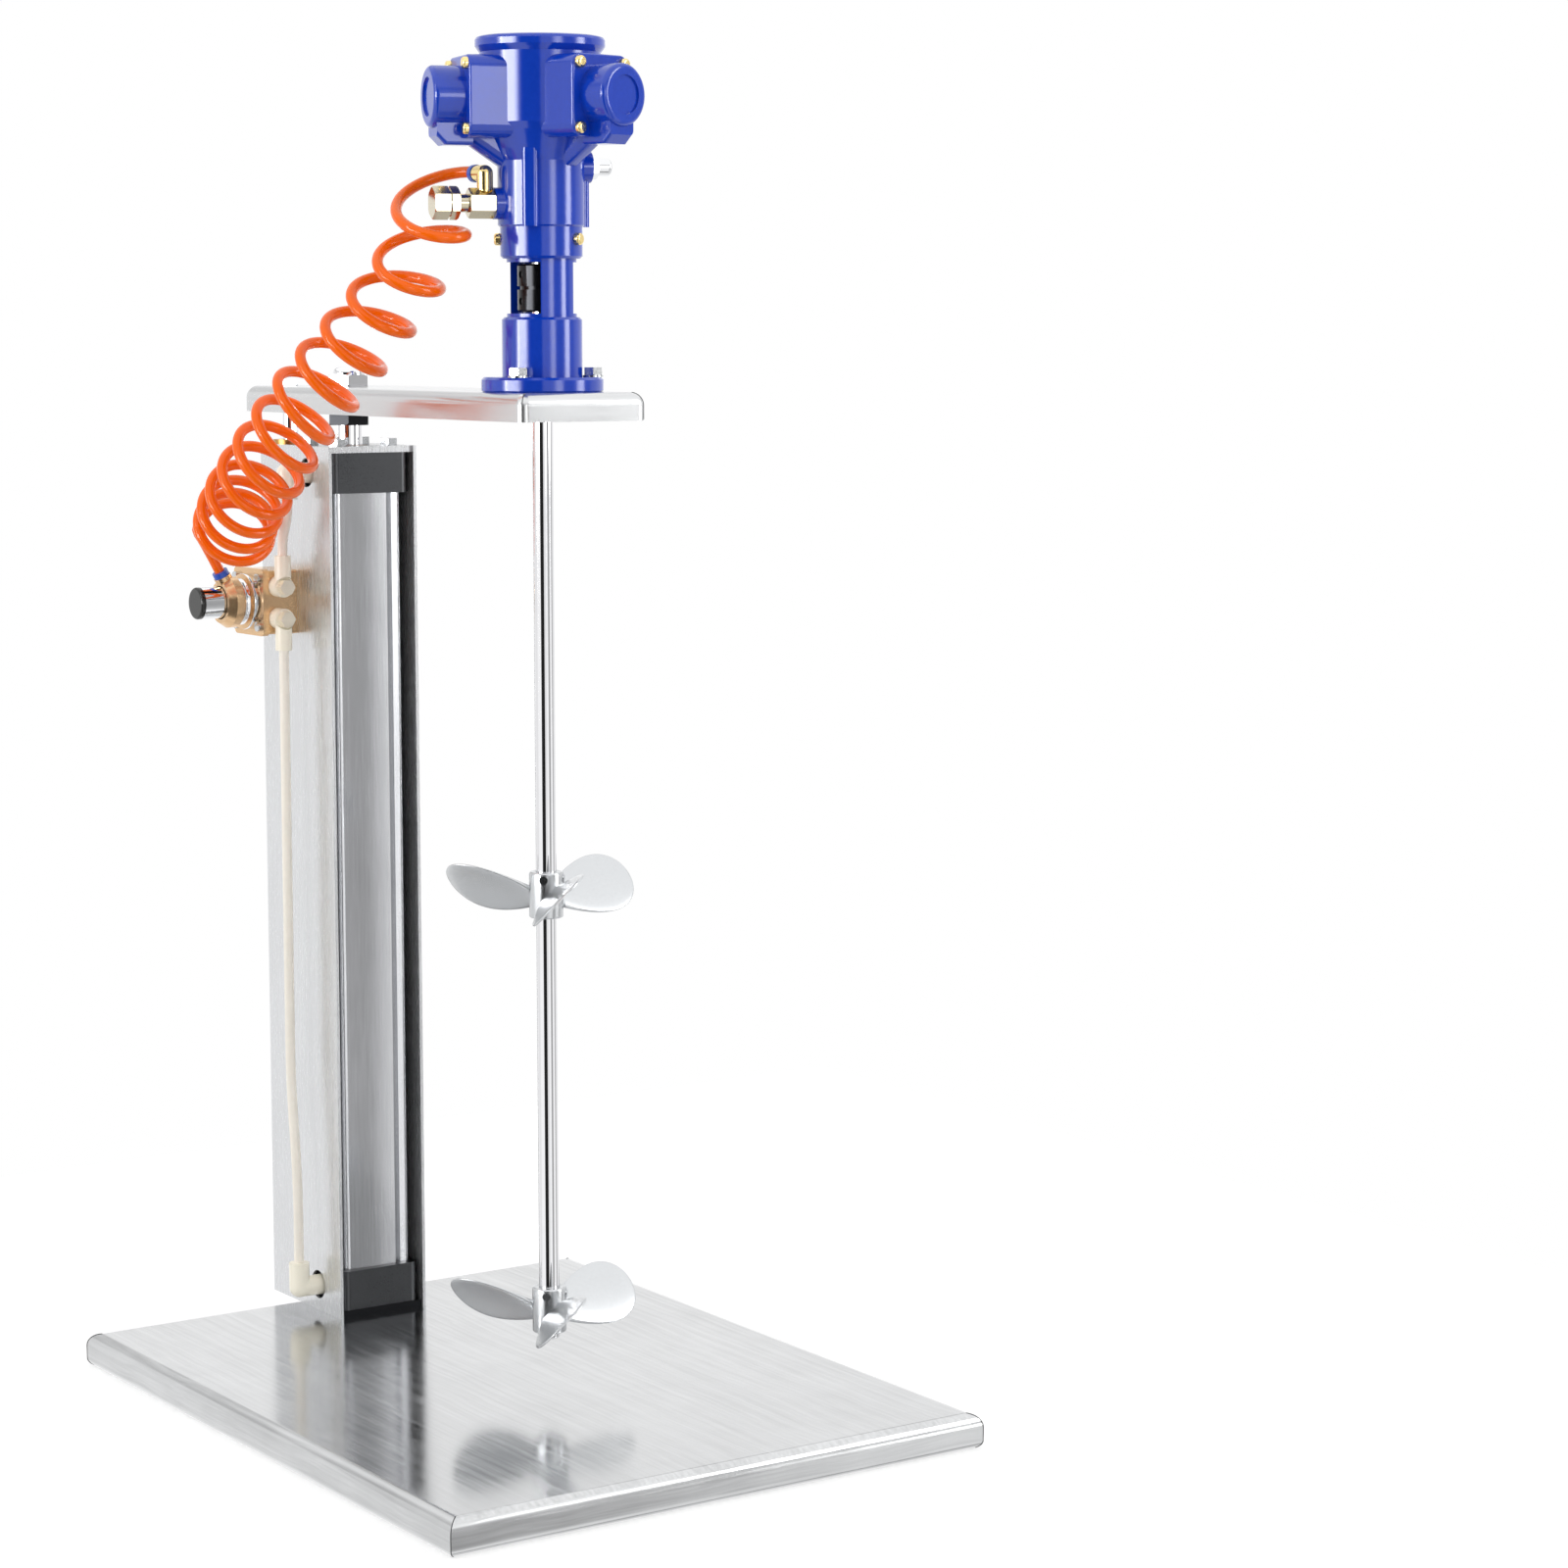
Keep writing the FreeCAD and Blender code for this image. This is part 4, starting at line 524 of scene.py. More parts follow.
def closed_tube_mesh(grids: list[np.ndarray], first: int = 0) -> tuple[np.ndarray, list[tuple[int, ...]]]:
    """Joins swept tubes into one mesh, each closed by a flat face at either end.

    Args:
        grids: For each tube an array of rings by ring points by three, in metres.
        first: The number of the first vertex.

    Returns:
        The vertices and the faces.
    """
    faces: list[tuple[int, ...]] = []
    for grid in grids:
        rings, columns = grid.shape[:2]
        last = first + (rings - 1) * columns
        faces += grid_faces(rings, columns, False, first)
        faces.append(tuple(range(first + columns - 1, first - 1, -1)))
        faces.append(tuple(range(last, last + columns)))
        first += rings * columns
    return np.concatenate([grid.reshape(-1, 3) for grid in grids]), faces


def swept_rings(path: np.ndarray, facing: np.ndarray, radius: float | np.ndarray, points: int) -> np.ndarray:
    """Places a ring square to the path at each of its points.

    A ring's point lies one radius from the path: the cosine of its angle along the outward direction, the
    tangent crossed with the facing, and the sine along the third direction.

    Args:
        path: The path's points, in metres.
        facing: A direction at each point that is never along the path.
        radius: The tube's radius in metres, or one for each point of the path.
        points: The points of a ring.

    Returns:
        An array of rings by ring points by three.
    """
    tangent = unit(np.gradient(path, axis=0))
    out = unit(np.cross(tangent, facing))
    side = np.cross(tangent, out)
    angle = full_turn(points)
    ring = np.cos(angle)[None, :, None] * out[:, None] + np.sin(angle)[None, :, None] * side[:, None]
    return path[:, None] + ring * np.broadcast_to(radius, len(path))[:, None, None]


def spline_points(name: str, control: np.ndarray, resolution: int) -> np.ndarray:
    """Reads the points of a smooth NURBS spline of order 3 that starts and ends at its end control points.

    Args:
        name: A name for the throwaway curve.
        control: The control points, in metres.
        resolution: The points read per control point.

    Returns:
        The points in order, in metres.
    """
    curve = bpy.data.curves.new(name, "CURVE")
    curve.dimensions = "3D"
    curve.resolution_u = resolution
    spline = curve.splines.new("NURBS")
    spline.points.add(len(control) - 1)
    spline.points.foreach_set("co", np.c_[control, np.ones(len(control))].ravel())
    spline.order_u = 3
    spline.use_endpoint_u = True
    holder = bpy.data.objects.new(name, curve)
    bpy.context.scene.collection.objects.link(holder)
    bpy.context.view_layer.update()
    line = bpy.data.meshes.new_from_object(holder)
    points = np.empty(len(line.vertices) * 3)
    line.vertices.foreach_get("co", points)
    bpy.data.objects.remove(holder)
    bpy.data.meshes.remove(line)
    bpy.data.curves.remove(curve)
    return points.reshape(-1, 3)


def full_turn(count: int) -> np.ndarray:
    """Gives angles evenly round a full turn, in radians."""
    return np.linspace(0, 2 * math.pi, count, endpoint=False)


def unit(vectors: np.ndarray) -> np.ndarray:
    """Scales each vector to length one."""
    return vectors / np.linalg.norm(vectors, axis=-1, keepdims=True)


def between_rows(at: np.ndarray, stops: np.ndarray | tuple[float, ...], rows: np.ndarray) -> np.ndarray:
    """Interpolates points or directions evenly between their stops.

    Args:
        at: Where to read.
        stops: The place of each row, growing.
        rows: Three values for each stop.

    Returns:
        Three values for each place read.
    """
    return np.stack([np.interp(at, stops, rows[:, k]) for k in range(3)], 1)


def arc_share(points: np.ndarray) -> np.ndarray:
    """Gives each point's share of the line's length, from 0 at the first to 1 at the last."""
    steps = np.linalg.norm(np.diff(points, axis=0), axis=1)
    along = np.r_[0.0, np.cumsum(steps)]
    return along / along[-1]


@dataclass
class RecoilHose:
    """The coiled supply hose between the hand valve and the throttle's elbow."""

    # The coil's middle line, from the hand valve up to the elbow, by the same points as the part's source.
    route_mm: tuple[tuple[float, float, float], ...] = (
        (-75.0, 210.0, 513.0),
        (-86.0, 185.0, 524.5),
        (-92.0, 155.0, 542.0),
        (-93.0, 118.0, 567.0),
        (-89.0, 84.0, 597.0),
        (-79.0, 46.0, 629.0),
        (-71.0, 7.0, 661.0),
        (-67.0, -27.0, 690.0),
        (-50.0, -10.0, 724.0),
    )
    diameter_mm: float = 6.5
    # The turns wound, and those that the whole middle line would hold: the coil stops just short of its end.
    turns: float = 12.36
    whole_turns: float = 12.52
    crowding: float = 0.934
    start_angle: float = -13.7
    # The coil's radius at these turns, counted from the elbow.
    radius_turns: tuple[float, ...] = (0, 1, 3, 8, 12.5)
    radii_mm: tuple[float, ...] = (23.2, 21.8, 21.9, 23.4, 22.9)
    # The way that the plane of a turn faces at these shares of the middle line.
    facing_shares: tuple[float, ...] = (0, 0.55, 1)
    facings: tuple[tuple[float, float, float], ...] = (
        (0.068, 0.063, -0.186),
        (-0.387, 0.581, -0.721),
        (0.251, 0.89, -0.588),
    )
    points_per_turn: int = 24
    ring_points: int = 16
    # Points read for each control point of the middle line and of the hose, and steps of the winding.
    middle_resolution: int = 24
    path_resolution: int = 3
    winding_steps: int = 2001
    # The way out of each fitting, in order from the fitting to the coil.
    upper_lead_mm: tuple[tuple[float, float, float], ...] = (
        (-31.9, -24.4, 729.0),
        (-31.9, -19.0, 729.0),
        (-31.4, -16.0, 729.0),
    )
    lower_lead_mm: tuple[tuple[float, float, float], ...] = (
        (-72.0, 231.0, 486.5),
        (-74.3, 231.0, 490.9),
        (-79.0, 231.0, 499.7),
        (-86.0, 230.0, 511.0),
        (-93.0, 226.5, 518.5),
    )
    # The hose's length in metres, as the record has it.
    declared_length: float = 1.84

    def helix(self, axis: np.ndarray) -> tuple[np.ndarray, np.ndarray]:
        """Winds the turns round the coil's middle line, from the elbow down.

        The turn number grows with the share x of the line as x plus crowding times x cubed over three, so
        the turns crowd towards the valve. A point lies one radius from the middle line, turned by the turn
        number in a plane whose facing swings from the first turn to the last.

        Args:
            axis: Points of the middle line, from the elbow to the valve, in metres.

        Returns:
            The points of the helix and the facing of its plane at each.
        """
        count = int(self.turns * self.points_per_turn) + 1
        turn = np.linspace(0, self.turns, count)
        dense = np.linspace(0, 1, self.winding_steps)
        wound = self.whole_turns * (dense + self.crowding * dense**3 / 3) / (1 + self.crowding / 3)
        share = np.interp(turn, wound, dense)
        middle = between_rows(share, arc_share(axis), axis)
        radius = np.interp(turn, self.radius_turns, self.radii_mm) * MM
        facing = unit(between_rows(share, self.facing_shares, unit(np.array(self.facings))))
        side = np.array([1.0, 0.0, 0.0])
        first = unit(side - facing * (facing @ side)[:, None])
        second = np.cross(first, facing)
        angle = np.radians(self.start_angle + 360 * turn)[:, None]
        points = middle + radius[:, None] * (np.cos(angle) * first + np.sin(angle) * second)
        return points, facing

    def build(self, material: Material) -> None:
        """Args:
            material: The hose's finish.
        """
        axis = spline_points("hose_middle", np.array(self.route_mm)[::-1] * MM, self.middle_resolution)
        winding, facing = self.helix(axis)
        upper = np.array(self.upper_lead_mm) * MM
        lower = np.array(self.lower_lead_mm)[::-1] * MM
        path = spline_points("hose_path", np.concatenate([upper, winding, lower]), self.path_resolution)
        first = np.repeat(facing[:1], len(upper), 0)
        last = np.repeat(facing[-1:], len(lower), 0)
        facings = np.concatenate([first, facing, last])
        spread = np.linspace(0, 1, len(facings))
        reference = unit(between_rows(np.linspace(0, 1, len(path)), spread, facings))
        points = swept_rings(path, reference, self.diameter_mm * MM / 2, self.ring_points)
        hose = add_piece("supply_hose", *closed_tube_mesh([points]), material)
        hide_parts("hose_lead_lower", "hose_coil", "hose_lead_upper")
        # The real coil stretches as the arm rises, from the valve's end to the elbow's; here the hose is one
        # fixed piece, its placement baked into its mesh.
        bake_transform(hose)
        steps = np.linalg.norm(np.diff(path, axis=0), axis=1)
        LOG.info("hose: %.3f m along %d points", steps.sum(), len(path))


@dataclass
class SeamShadeLines:
    """Dark lines of painted shade along the mitres where the folded edges of the base and of the arm meet at
    their corners: they stand for the shade in each gap.
    """

    line_mm: float = 0.28
    ring_points: int = 8
    # The base's outer face: half its width and depth, its top, and the radii of its top and bottom folds.
    base_half_mm: tuple[float, float] = (176.0, 228.5)
    base_height_mm: float = 20.4
    base_radii_mm: tuple[float, float] = (8.0, 5.0)
    # The arm's outer face: half its width, its front, its bottom and top, and the radius of its fold.
    arm_half_width_mm: float = 41.6
    arm_front_y_mm: float = -83.5
    arm_heights_mm: tuple[float, float] = (589.5, 605.5)
    arm_radius_mm: float = 7.0
    # The stretch of each fold that a seam follows, in degrees, and its points; then the arm's wall.
    base_top_fold: tuple[float, float, int] = (6.0, 90.0, 15)
    base_bottom_fold: tuple[float, float, int] = (10.0, 70.0, 9)
    arm_fold: tuple[float, float, int] = (8.0, 90.0, 12)
    arm_wall_gaps_mm: tuple[float, float] = (2.0, 0.6)
    arm_wall_points: int = 4
    # A ray towards the arm's corner starts this far away from it.
    ray_start: float = 0.05

    def base_corner(self, side: int, end: int) -> np.ndarray:
        """Follows the base's outer face down one corner.

        The line lies in the diagonal plane: a quarter arc over the top fold, straight down, and part of an
        arc under the bottom fold, with the same reach across and along.

        Args:
            side: 1 for the right side and -1 for the left.
            end: 1 for the rear and -1 for the front.

        Returns:
            The line's points, in metres.
        """
        top, bottom = self.base_radii_mm
        over = np.radians(np.linspace(*self.base_top_fold))
        under = np.radians(np.linspace(*self.base_bottom_fold))
        inset = np.r_[top * (1 - np.sin(over)), bottom * (1 - np.cos(under))]
        height = np.r_[self.base_height_mm - top * (1 - np.cos(over)), bottom * (1 - np.sin(under))]
        x = side * (self.base_half_mm[0] - inset)
        y = end * (self.base_half_mm[1] - inset)
        return np.stack([x, y, height], 1) * MM

    def arm_corners(self, arm: Object) -> list[np.ndarray]:
        """Follows the arm's outer face down its two front corners, found by casting rays at it.

        The rays fan out over the fold in the diagonal plane and then go level down the wall.

        Args:
            arm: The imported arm.

        Returns:
            Each line's points, in metres.
        """
        low, high = self.arm_heights_mm
        fold_z = high - self.arm_radius_mm
        below, above = self.arm_wall_gaps_mm
        tree = BVHTree.FromObject(arm, bpy.context.evaluated_depsgraph_get())
        turn = np.radians(np.linspace(*self.arm_fold))
        reach = np.r_[np.sin(turn), np.ones(self.arm_wall_points)]
        rise = np.r_[np.cos(turn), np.zeros(self.arm_wall_points)]
        wall_z = np.linspace(fold_z - below, low + above, self.arm_wall_points)
        x = self.arm_half_width_mm - self.arm_radius_mm
        y = self.arm_front_y_mm + self.arm_radius_mm
        lines = []
        for side in (-1, 1):
            points = []
            for out, up, z in zip(reach, rise, np.r_[np.full(len(turn), fold_z), wall_z], strict=True):
                inside = Vector((side * x, y, z)) * MM
                way = Vector((side * out, -out, up * math.sqrt(2))).normalized()
                hit = tree.ray_cast(inside + way * self.ray_start, -way)[0]
                points.append(tuple(hit))
            lines.append(np.array(points))
        return lines

    def build(self, arm: Object) -> None:
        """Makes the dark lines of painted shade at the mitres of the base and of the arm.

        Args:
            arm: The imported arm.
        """
        material = SEAM_SHADE_PAINT.material()
        base = [self.base_corner(side, end) for side in (-1, 1) for end in (-1, 1)]
        for name, body, lines in (
            ("base_corner_seam_shade", BODY_STAND, base),
            ("arm_corner_seam_shade", BODY_LIFT, self.arm_corners(arm)),
        ):
            grids = []
            for line in lines:
                across = np.array([-math.copysign(1, line[0, 1]), math.copysign(1, line[0, 0]), 0.0])
                facing = np.repeat(unit(across)[None], len(line), 0)
                grids.append(swept_rings(line, facing, self.line_mm * MM, self.ring_points))
            # The lines wear the dark seam finish: painted shade for the gap at each mitre, not a colour of
            # the sheet.
            seam_shade_lines = add_piece(name, *closed_tube_mesh(grids), material)
            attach(seam_shade_lines, body)
            LOG.info("%s: %d lines", name, len(lines))


@dataclass
class ValveSleeve:
    """The bare steel sleeve between the hand valve's flange and its outer ring."""

    # The valve's axis runs along X at this Y and Z.
    axis_mm: tuple[float, float] = (231.0, 471.5)
    flange_x_mm: float = -54.0
    # Distance from the flange and radius, from the collar into the groove; close points keep an edge crisp.
    outline_mm: tuple[tuple[float, float], ...] = (
        (0.1, 17.3),
        (0.3, 17.5),
        (4.7, 17.5),
        (4.9, 17.43),
        (5.15, 17.1),
        (5.9, 14.8),
        (6.1, 14.5),
        (9.1, 14.45),
        (9.4, 14.45),
    )
    inner_radius_mm: float = 13.9
    segments: int = 96

    def build(self, material: Material) -> None:
        """Turns the sleeve's outline round the valve's axis.

        Args:
            material: The sleeve's finish.
        """
        away, outer = np.array(self.outline_mm).T
        x = self.flange_x_mm - np.r_[away, away[-1], away[0]]
        radius = np.r_[outer, self.inner_radius_mm, self.inner_radius_mm]
        angle = full_turn(self.segments)[:, None]
        y = self.axis_mm[0] + radius * np.cos(angle)
        z = self.axis_mm[1] + radius * np.sin(angle)
        points = np.stack([np.broadcast_to(x, y.shape), y, z], -1) * MM
        faces = grid_faces(self.segments, len(x), True)
        sleeve = add_piece("valve_groove_sleeve", points.reshape(-1, 3), faces, material)
        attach(sleeve, BODY_STAND)


@dataclass
class MixingShaft:
    """The polished mixing shaft, round enough for its mirrored stripes to run straight."""

    radius_mm: float = 6.0
    chamfer_mm: float = 1.0
    # Rings close to each edge keep the edge crisp and the long wall's shading level.
    support_mm: float = 0.3
    wall_rings: int = 40
    ring_points: int = 128

    def build(self, material: Material) -> None:
        """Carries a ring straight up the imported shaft's box; it starts smaller, at the foot's chamfer.

        Args:
            material: The shaft's finish.
        """
        low, high = (np.array(corner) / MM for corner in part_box("mixing_shaft"))
        foot, top = low[2], high[2]
        chamfer_top = foot + self.chamfer_mm
        wall = np.linspace(chamfer_top + self.support_mm, top - self.support_mm, self.wall_rings)
        height = np.r_[foot, chamfer_top, wall, top]
        radius = np.full(len(height), self.radius_mm)
        radius[0] -= self.chamfer_mm
        path = np.tile((low + high) / 2, (len(height), 1))
        path[:, 2] = height
        path *= MM
        facing = np.tile([0.0, 1.0, 0.0], (len(height), 1))
        rings = swept_rings(path, facing, radius * MM, self.ring_points)
        shaft = add_piece("mixing_shaft_turned", *closed_tube_mesh([rings]), material)
        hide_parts("mixing_shaft")
        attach(shaft, BODY_ROTOR)
        LOG.info("mixing shaft: %.0f mm long", top - foot)


@dataclass
class Propeller:
    """One cast three-bladed propeller: a turned hub and cupped leaf-shaped blades that thicken into it."""

    name: str
    bottom_mm: float
    axis_mm: tuple[float, float] = (0.0, -37.4)
    hub_radius_mm: float = 10.0
    hub_height_mm: float = 27.0
    hub_edge_mm: float = 1.2
    edge_points: int = 6
    # The bore's radius, just clear of the shaft, and the chamfer at its ends.
    bore_mm: float = 6.02
    bore_edge_mm: float = 0.3
    blade_angles: tuple[float, ...] = (7.0, 127.0, 247.0)
    blade_height_mm: float = 12.2
    root_mm: float = 8.0
    tip_mm: float = 62.0
    # The chord's half width, the section's thickness at root and tip, and the radius of the face's cup.
    half_chord_mm: float = 28.0
    thickness_mm: tuple[float, float] = (4.6, 2.2)
    cup_mm: float = 170.0
    # The leaf's outline: the share added at the root, and the power that it widens with.
    leaf_start: float = 0.12
    leaf_power: float = 0.6
    # How fast the thickness falls off from the root, and the power and least share that it ends with.
    thickness_fall: float = 7.0
    tip_power: int = 12
    tip_least: float = 0.02
    # The power that fills out a section's ellipse, and how far along the quarter turn the last section is.
    rim_power: float = 0.45
    last_section: float = 0.985
    # The chord's angle to the level at root and tip, and the angle at which the blade rises outwards.
    pitch: tuple[float, float] = (48.0, 44.0)
    rake: float = 8.0
    rings: int = 44
    ring_points: int = 56
    segments: int = 72

    def hub(self) -> np.ndarray:
        """Turns the hub's profile round the shaft.

        It goes down the outer wall, in, up the bore and out, with quarter arcs at the outer edges.

        Returns:
            An array of segments by profile points by three, in metres.
        """
        edge, chamfer, bore = self.hub_edge_mm, self.bore_edge_mm, self.bore_mm
        quarter = np.radians(np.linspace(0, 90, self.edge_points))
        low, high = 0.0, self.hub_height_mm
        flat = self.hub_radius_mm - edge
        top_z = high - edge + edge * np.cos(quarter)
        foot_z = low + edge - edge * np.sin(quarter)
        bevel = np.array([chamfer, 0.0, 0.0, chamfer])
        radius = np.r_[flat + edge * np.sin(quarter), flat + edge * np.cos(quarter), bore + bevel]
        height = np.r_[top_z, foot_z, low, low + chamfer, high - chamfer, high]
        angle = full_turn(self.segments)[:, None]
        x = self.axis_mm[0] + radius * np.cos(angle)
        y = self.axis_mm[1] + radius * np.sin(angle)
        z = np.broadcast_to(self.bottom_mm + height, x.shape)
        return np.stack([x, y, z], -1) * MM

    def blade(self, degrees: float) -> np.ndarray:
        """Lofts a blade from closed sections that follow each other outwards.

        At the share s of its length the half chord is s plus the leaf's start, to the leaf's power, times
        the root of 1 - s cubed: a leaf with a round tip. The thickness falls off exponentially from the
        root's to the tip's. A section is an ellipse whose sine is raised to the rim's power, which fills it
        out to a plate with a round rim. It is bent back by its distance across squared over twice the cup's
        radius, and turned to the pitch there.

        Args:
            degrees: The blade's bearing about the shaft.

        Returns:
            An array of sections by section points by three, in metres.
        """
        share = np.sin(np.linspace(0, math.pi / 2 * self.last_section, self.rings))[:, None]
        reach = self.root_mm + (self.tip_mm - self.root_mm) * share
        half = self.half_chord_mm * (share + self.leaf_start) ** self.leaf_power * np.sqrt(1 - share**3)
        root_thick, tip_thick = self.thickness_mm
        thick = tip_thick + (root_thick - tip_thick) * np.exp(-self.thickness_fall * share)
        thick = thick * np.sqrt(np.clip(1 - share**self.tip_power, self.tip_least, 1))
        turn = full_turn(self.ring_points)[None, :]
        across = half * np.cos(turn)
        full_sine = np.sign(np.sin(turn)) * np.abs(np.sin(turn)) ** self.rim_power
        through = thick / 2 * full_sine - across**2 / (2 * self.cup_mm)
        pitch = np.radians(self.pitch[0] + (self.pitch[1] - self.pitch[0]) * share)
        along_tangent = across * np.cos(pitch) - through * np.sin(pitch)
        rise = across * np.sin(pitch) + through * np.cos(pitch)
        raked = math.tan(math.radians(self.rake)) * (reach - self.root_mm)
        bearing = math.radians(degrees)
        x = self.axis_mm[0] + reach * math.cos(bearing) - along_tangent * math.sin(bearing)
        y = self.axis_mm[1] + reach * math.sin(bearing) + along_tangent * math.cos(bearing)
        z = self.bottom_mm + self.blade_height_mm + rise + raked
        return np.stack([x, y, z], -1) * MM

    def build(self, material: Material) -> None:
        """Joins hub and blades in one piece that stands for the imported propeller.

        Args:
            material: The casting's finish.
        """
        hub = self.hub()
        faces = grid_faces(self.segments, hub.shape[1], True)
        blades = [self.blade(degrees) for degrees in self.blade_angles]
        blade_points, blade_faces = closed_tube_mesh(blades, hub.shape[0] * hub.shape[1])
        points = np.concatenate([hub.reshape(-1, 3), blade_points])
        piece = add_piece(f"{self.name}_cast", points, faces + blade_faces, material)
        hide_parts(self.name)
        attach(piece, BODY_ROTOR)
        LOG.info("%s: %d faces", self.name, len(piece.data.polygons))


@dataclass(frozen=True)
class Lamp:
    """A soft rectangular lamp that faces the object's middle; places and sizes in metres, power in watts."""

    name: str
    place: tuple[float, float, float]
    width: float
    height: float
    power: float
    aim: tuple[float, float, float] = (0.0, 0.05, 0.45)

    def hang(self) -> None:
        """Makes the lamp and links it to the scene."""
        data = bpy.data.lights.new(self.name, "AREA")
        data.shape = "RECTANGLE"
        data.size = self.width
        data.size_y = self.height
        data.energy = self.power
        lamp = bpy.data.objects.new(self.name, data)
        lamp.location = self.place
        way = Vector(self.aim) - Vector(self.place)
        lamp.rotation_euler = way.to_track_quat("-Z", "Y").to_euler()
        bpy.context.scene.collection.objects.link(lamp)


@dataclass
class Studio:
    """The camera at the photograph's viewing angle, a pale floor, the surroundings and two lamps."""

    lens_mm: float = 87.39
    sensor_mm: float = 36.0
    clip: tuple[float, float] = (0.05, 50.0)
    pitch_down: float = 6.93
    yaw: float = 34.56
    place: tuple[float, float, float] = (-1.1296, -1.9212, 0.6456)
    floor_half: float = 0.75
    floor_drop: float = 0.0002
    floor_color: str = "#BCBCBC"
    floor_glow: float = 0.58
    # What metal mirrors round the object: degrees from the camera towards its right, and the brightness.
    surroundings: tuple[tuple[float, float], ...] = (
        # Plain white behind the object and to its left.
        (-180.0, 1.2), (-135.0, 1.15), (-110.0, 1.0), (-78.0, 1.0),
        # The left strip light.
        (-64.0, 15.0), (-46.0, 15.0), (-36.0, 0.9), (-34.5, 0.85),
        # The dark zone at the camera.
        (-32.0, 0.02), (3.0, 0.02),
        # White, and a weaker light right of the camera.
        (5.5, 0.95), (24.0, 1.0), (33.0, 5.0), (39.0, 5.0),
        # A grey gap, the right strip light and another grey gap.
        (46.0, 0.5), (60.0, 0.4), (69.0, 0.8), (77.0, 9.0), (86.0, 9.0), (91.0, 0.6), (103.0, 0.5),
        # Back to plain white.
        (110.0, 0.9), (135.0, 1.05), (180.0, 1.2),
    )
    # The lights stand in a band of heights, as the third part of the direction: its middle and half its
    # height. Beyond a soft edge nothing is brighter than the cap, so a sheet never mirrors one from above.
    strip_band: tuple[float, float] = (0.07, 0.085)
    strip_edge: float = 0.025
    uncapped: float = 20.0
    cap: float = 1.15
    # What metal mirrors above, by height: a dim gap over the surroundings, then the lamp overhead.
    overhead: tuple[tuple[float, float], ...] = ((0.38, 0.75), (0.47, 0.75), (0.56, 1.3), (1.0, 1.3))
    overhead_fade: float = 0.04
    diffuse_level: float = 0.88
    lamps: tuple[Lamp, ...] = (
        Lamp("left_strip", (-2.1, 0.43, 1.1), width=0.14, height=1.5, power=9.0),
        Lamp("right_box", (1.7, -1.6, 1.6), width=0.8, height=0.8, power=14.0),
    )

    def camera(self) -> None:
        """Makes the camera: square pixels, no shift, no depth of field."""
        data = bpy.data.cameras.new("view")
        data.lens = self.lens_mm
        data.sensor_width = self.sensor_mm
        data.clip_start, data.clip_end = self.clip
        camera = bpy.data.objects.new("view", data)
        camera.location = self.place
        camera.rotation_euler = (math.radians(90 - self.pitch_down), 0.0, math.radians(-self.yaw))
        bpy.context.scene.collection.objects.link(camera)
        bpy.context.scene.camera = camera

    def floor(self) -> None:
        """Lays the floor.

        The camera sees it white, it keeps the object's shadow, and metal mirrors the surroundings past it.
        """
        half, z = self.floor_half, -self.floor_drop
        corners = np.array([(-half, -half, z), (half, -half, z), (half, half, z), (-half, half, z)])
        material = bpy.data.materials.new("matt_white_floor")
        tree = empty_nodes(material)
        ray = add_node(tree, "LightPath")
        seen = add_node(
            tree,
            "Math",
            {"operation": "ADD"},
            {0: ray.outputs["Is Camera Ray"], 1: ray.outputs["Is Transmission Ray"]},
        )
        glow = add_node(tree, "Math", {"operation": "MULTIPLY"}, {0: seen.outputs[0], 1: self.floor_glow})
        matt = add_node(tree, "BsdfDiffuse", inputs={"Color": linear(self.floor_color)})
        light = add_node(tree, "Emission", inputs={"Strength": glow.outputs[0]})
        both = add_node(tree, "AddShader", inputs={0: matt.outputs[0], 1: light.outputs[0]})
        clear = add_node(tree, "BsdfTransparent")
        surface = add_node(
            tree,
            "MixShader",
            inputs={0: ray.outputs["Is Glossy Ray"], 1: both.outputs[0], 2: clear.outputs[0]},
        )
        add_node(tree, "OutputMaterial", inputs={"Surface": surface.outputs[0]})
        add_piece("floor", corners, [(0, 1, 2, 3)], material)

    def level_round(self, tree: NodeTree, way: NodeSocket) -> NodeSocket:
        """Works out how bright the surroundings are at a direction's bearing.

        The bearing is the arctangent of the direction's part to the camera's right over its part towards the
        camera, and its share of the full turn picks the place on the ramp.

        Args:
            tree: The world's nodes.
            way: The direction.

        Returns:
            The ramp's colour.
        """
        yaw = math.radians(self.yaw)
        right = (math.cos(yaw), -math.sin(yaw), 0.0)
        towards = (-math.sin(yaw), -math.cos(yaw), 0.0)
        parts = [
            add_node(tree, "VectorMath", {"operation": "DOT_PRODUCT"}, {0: way, 1: axis})
            for axis in (right, towards)
        ]
        bearing = add_node(
            tree,
            "Math",
            {"operation": "ARCTAN2"},
            {number: part.outputs["Value"] for number, part in enumerate(parts)},
        )
        share = add_node(
            tree,
            "MapRange",
            inputs={"Value": bearing.outputs[0], "From Min": -math.pi, "From Max": math.pi},
        )
        ramp = add_node(tree, "ValToRGB", inputs={"Fac": share.outputs[0]})
        set_stops(ramp.color_ramp, [(0.5 + degrees / 360, shade) for degrees, shade in self.surroundings])
        return ramp.outputs["Color"]

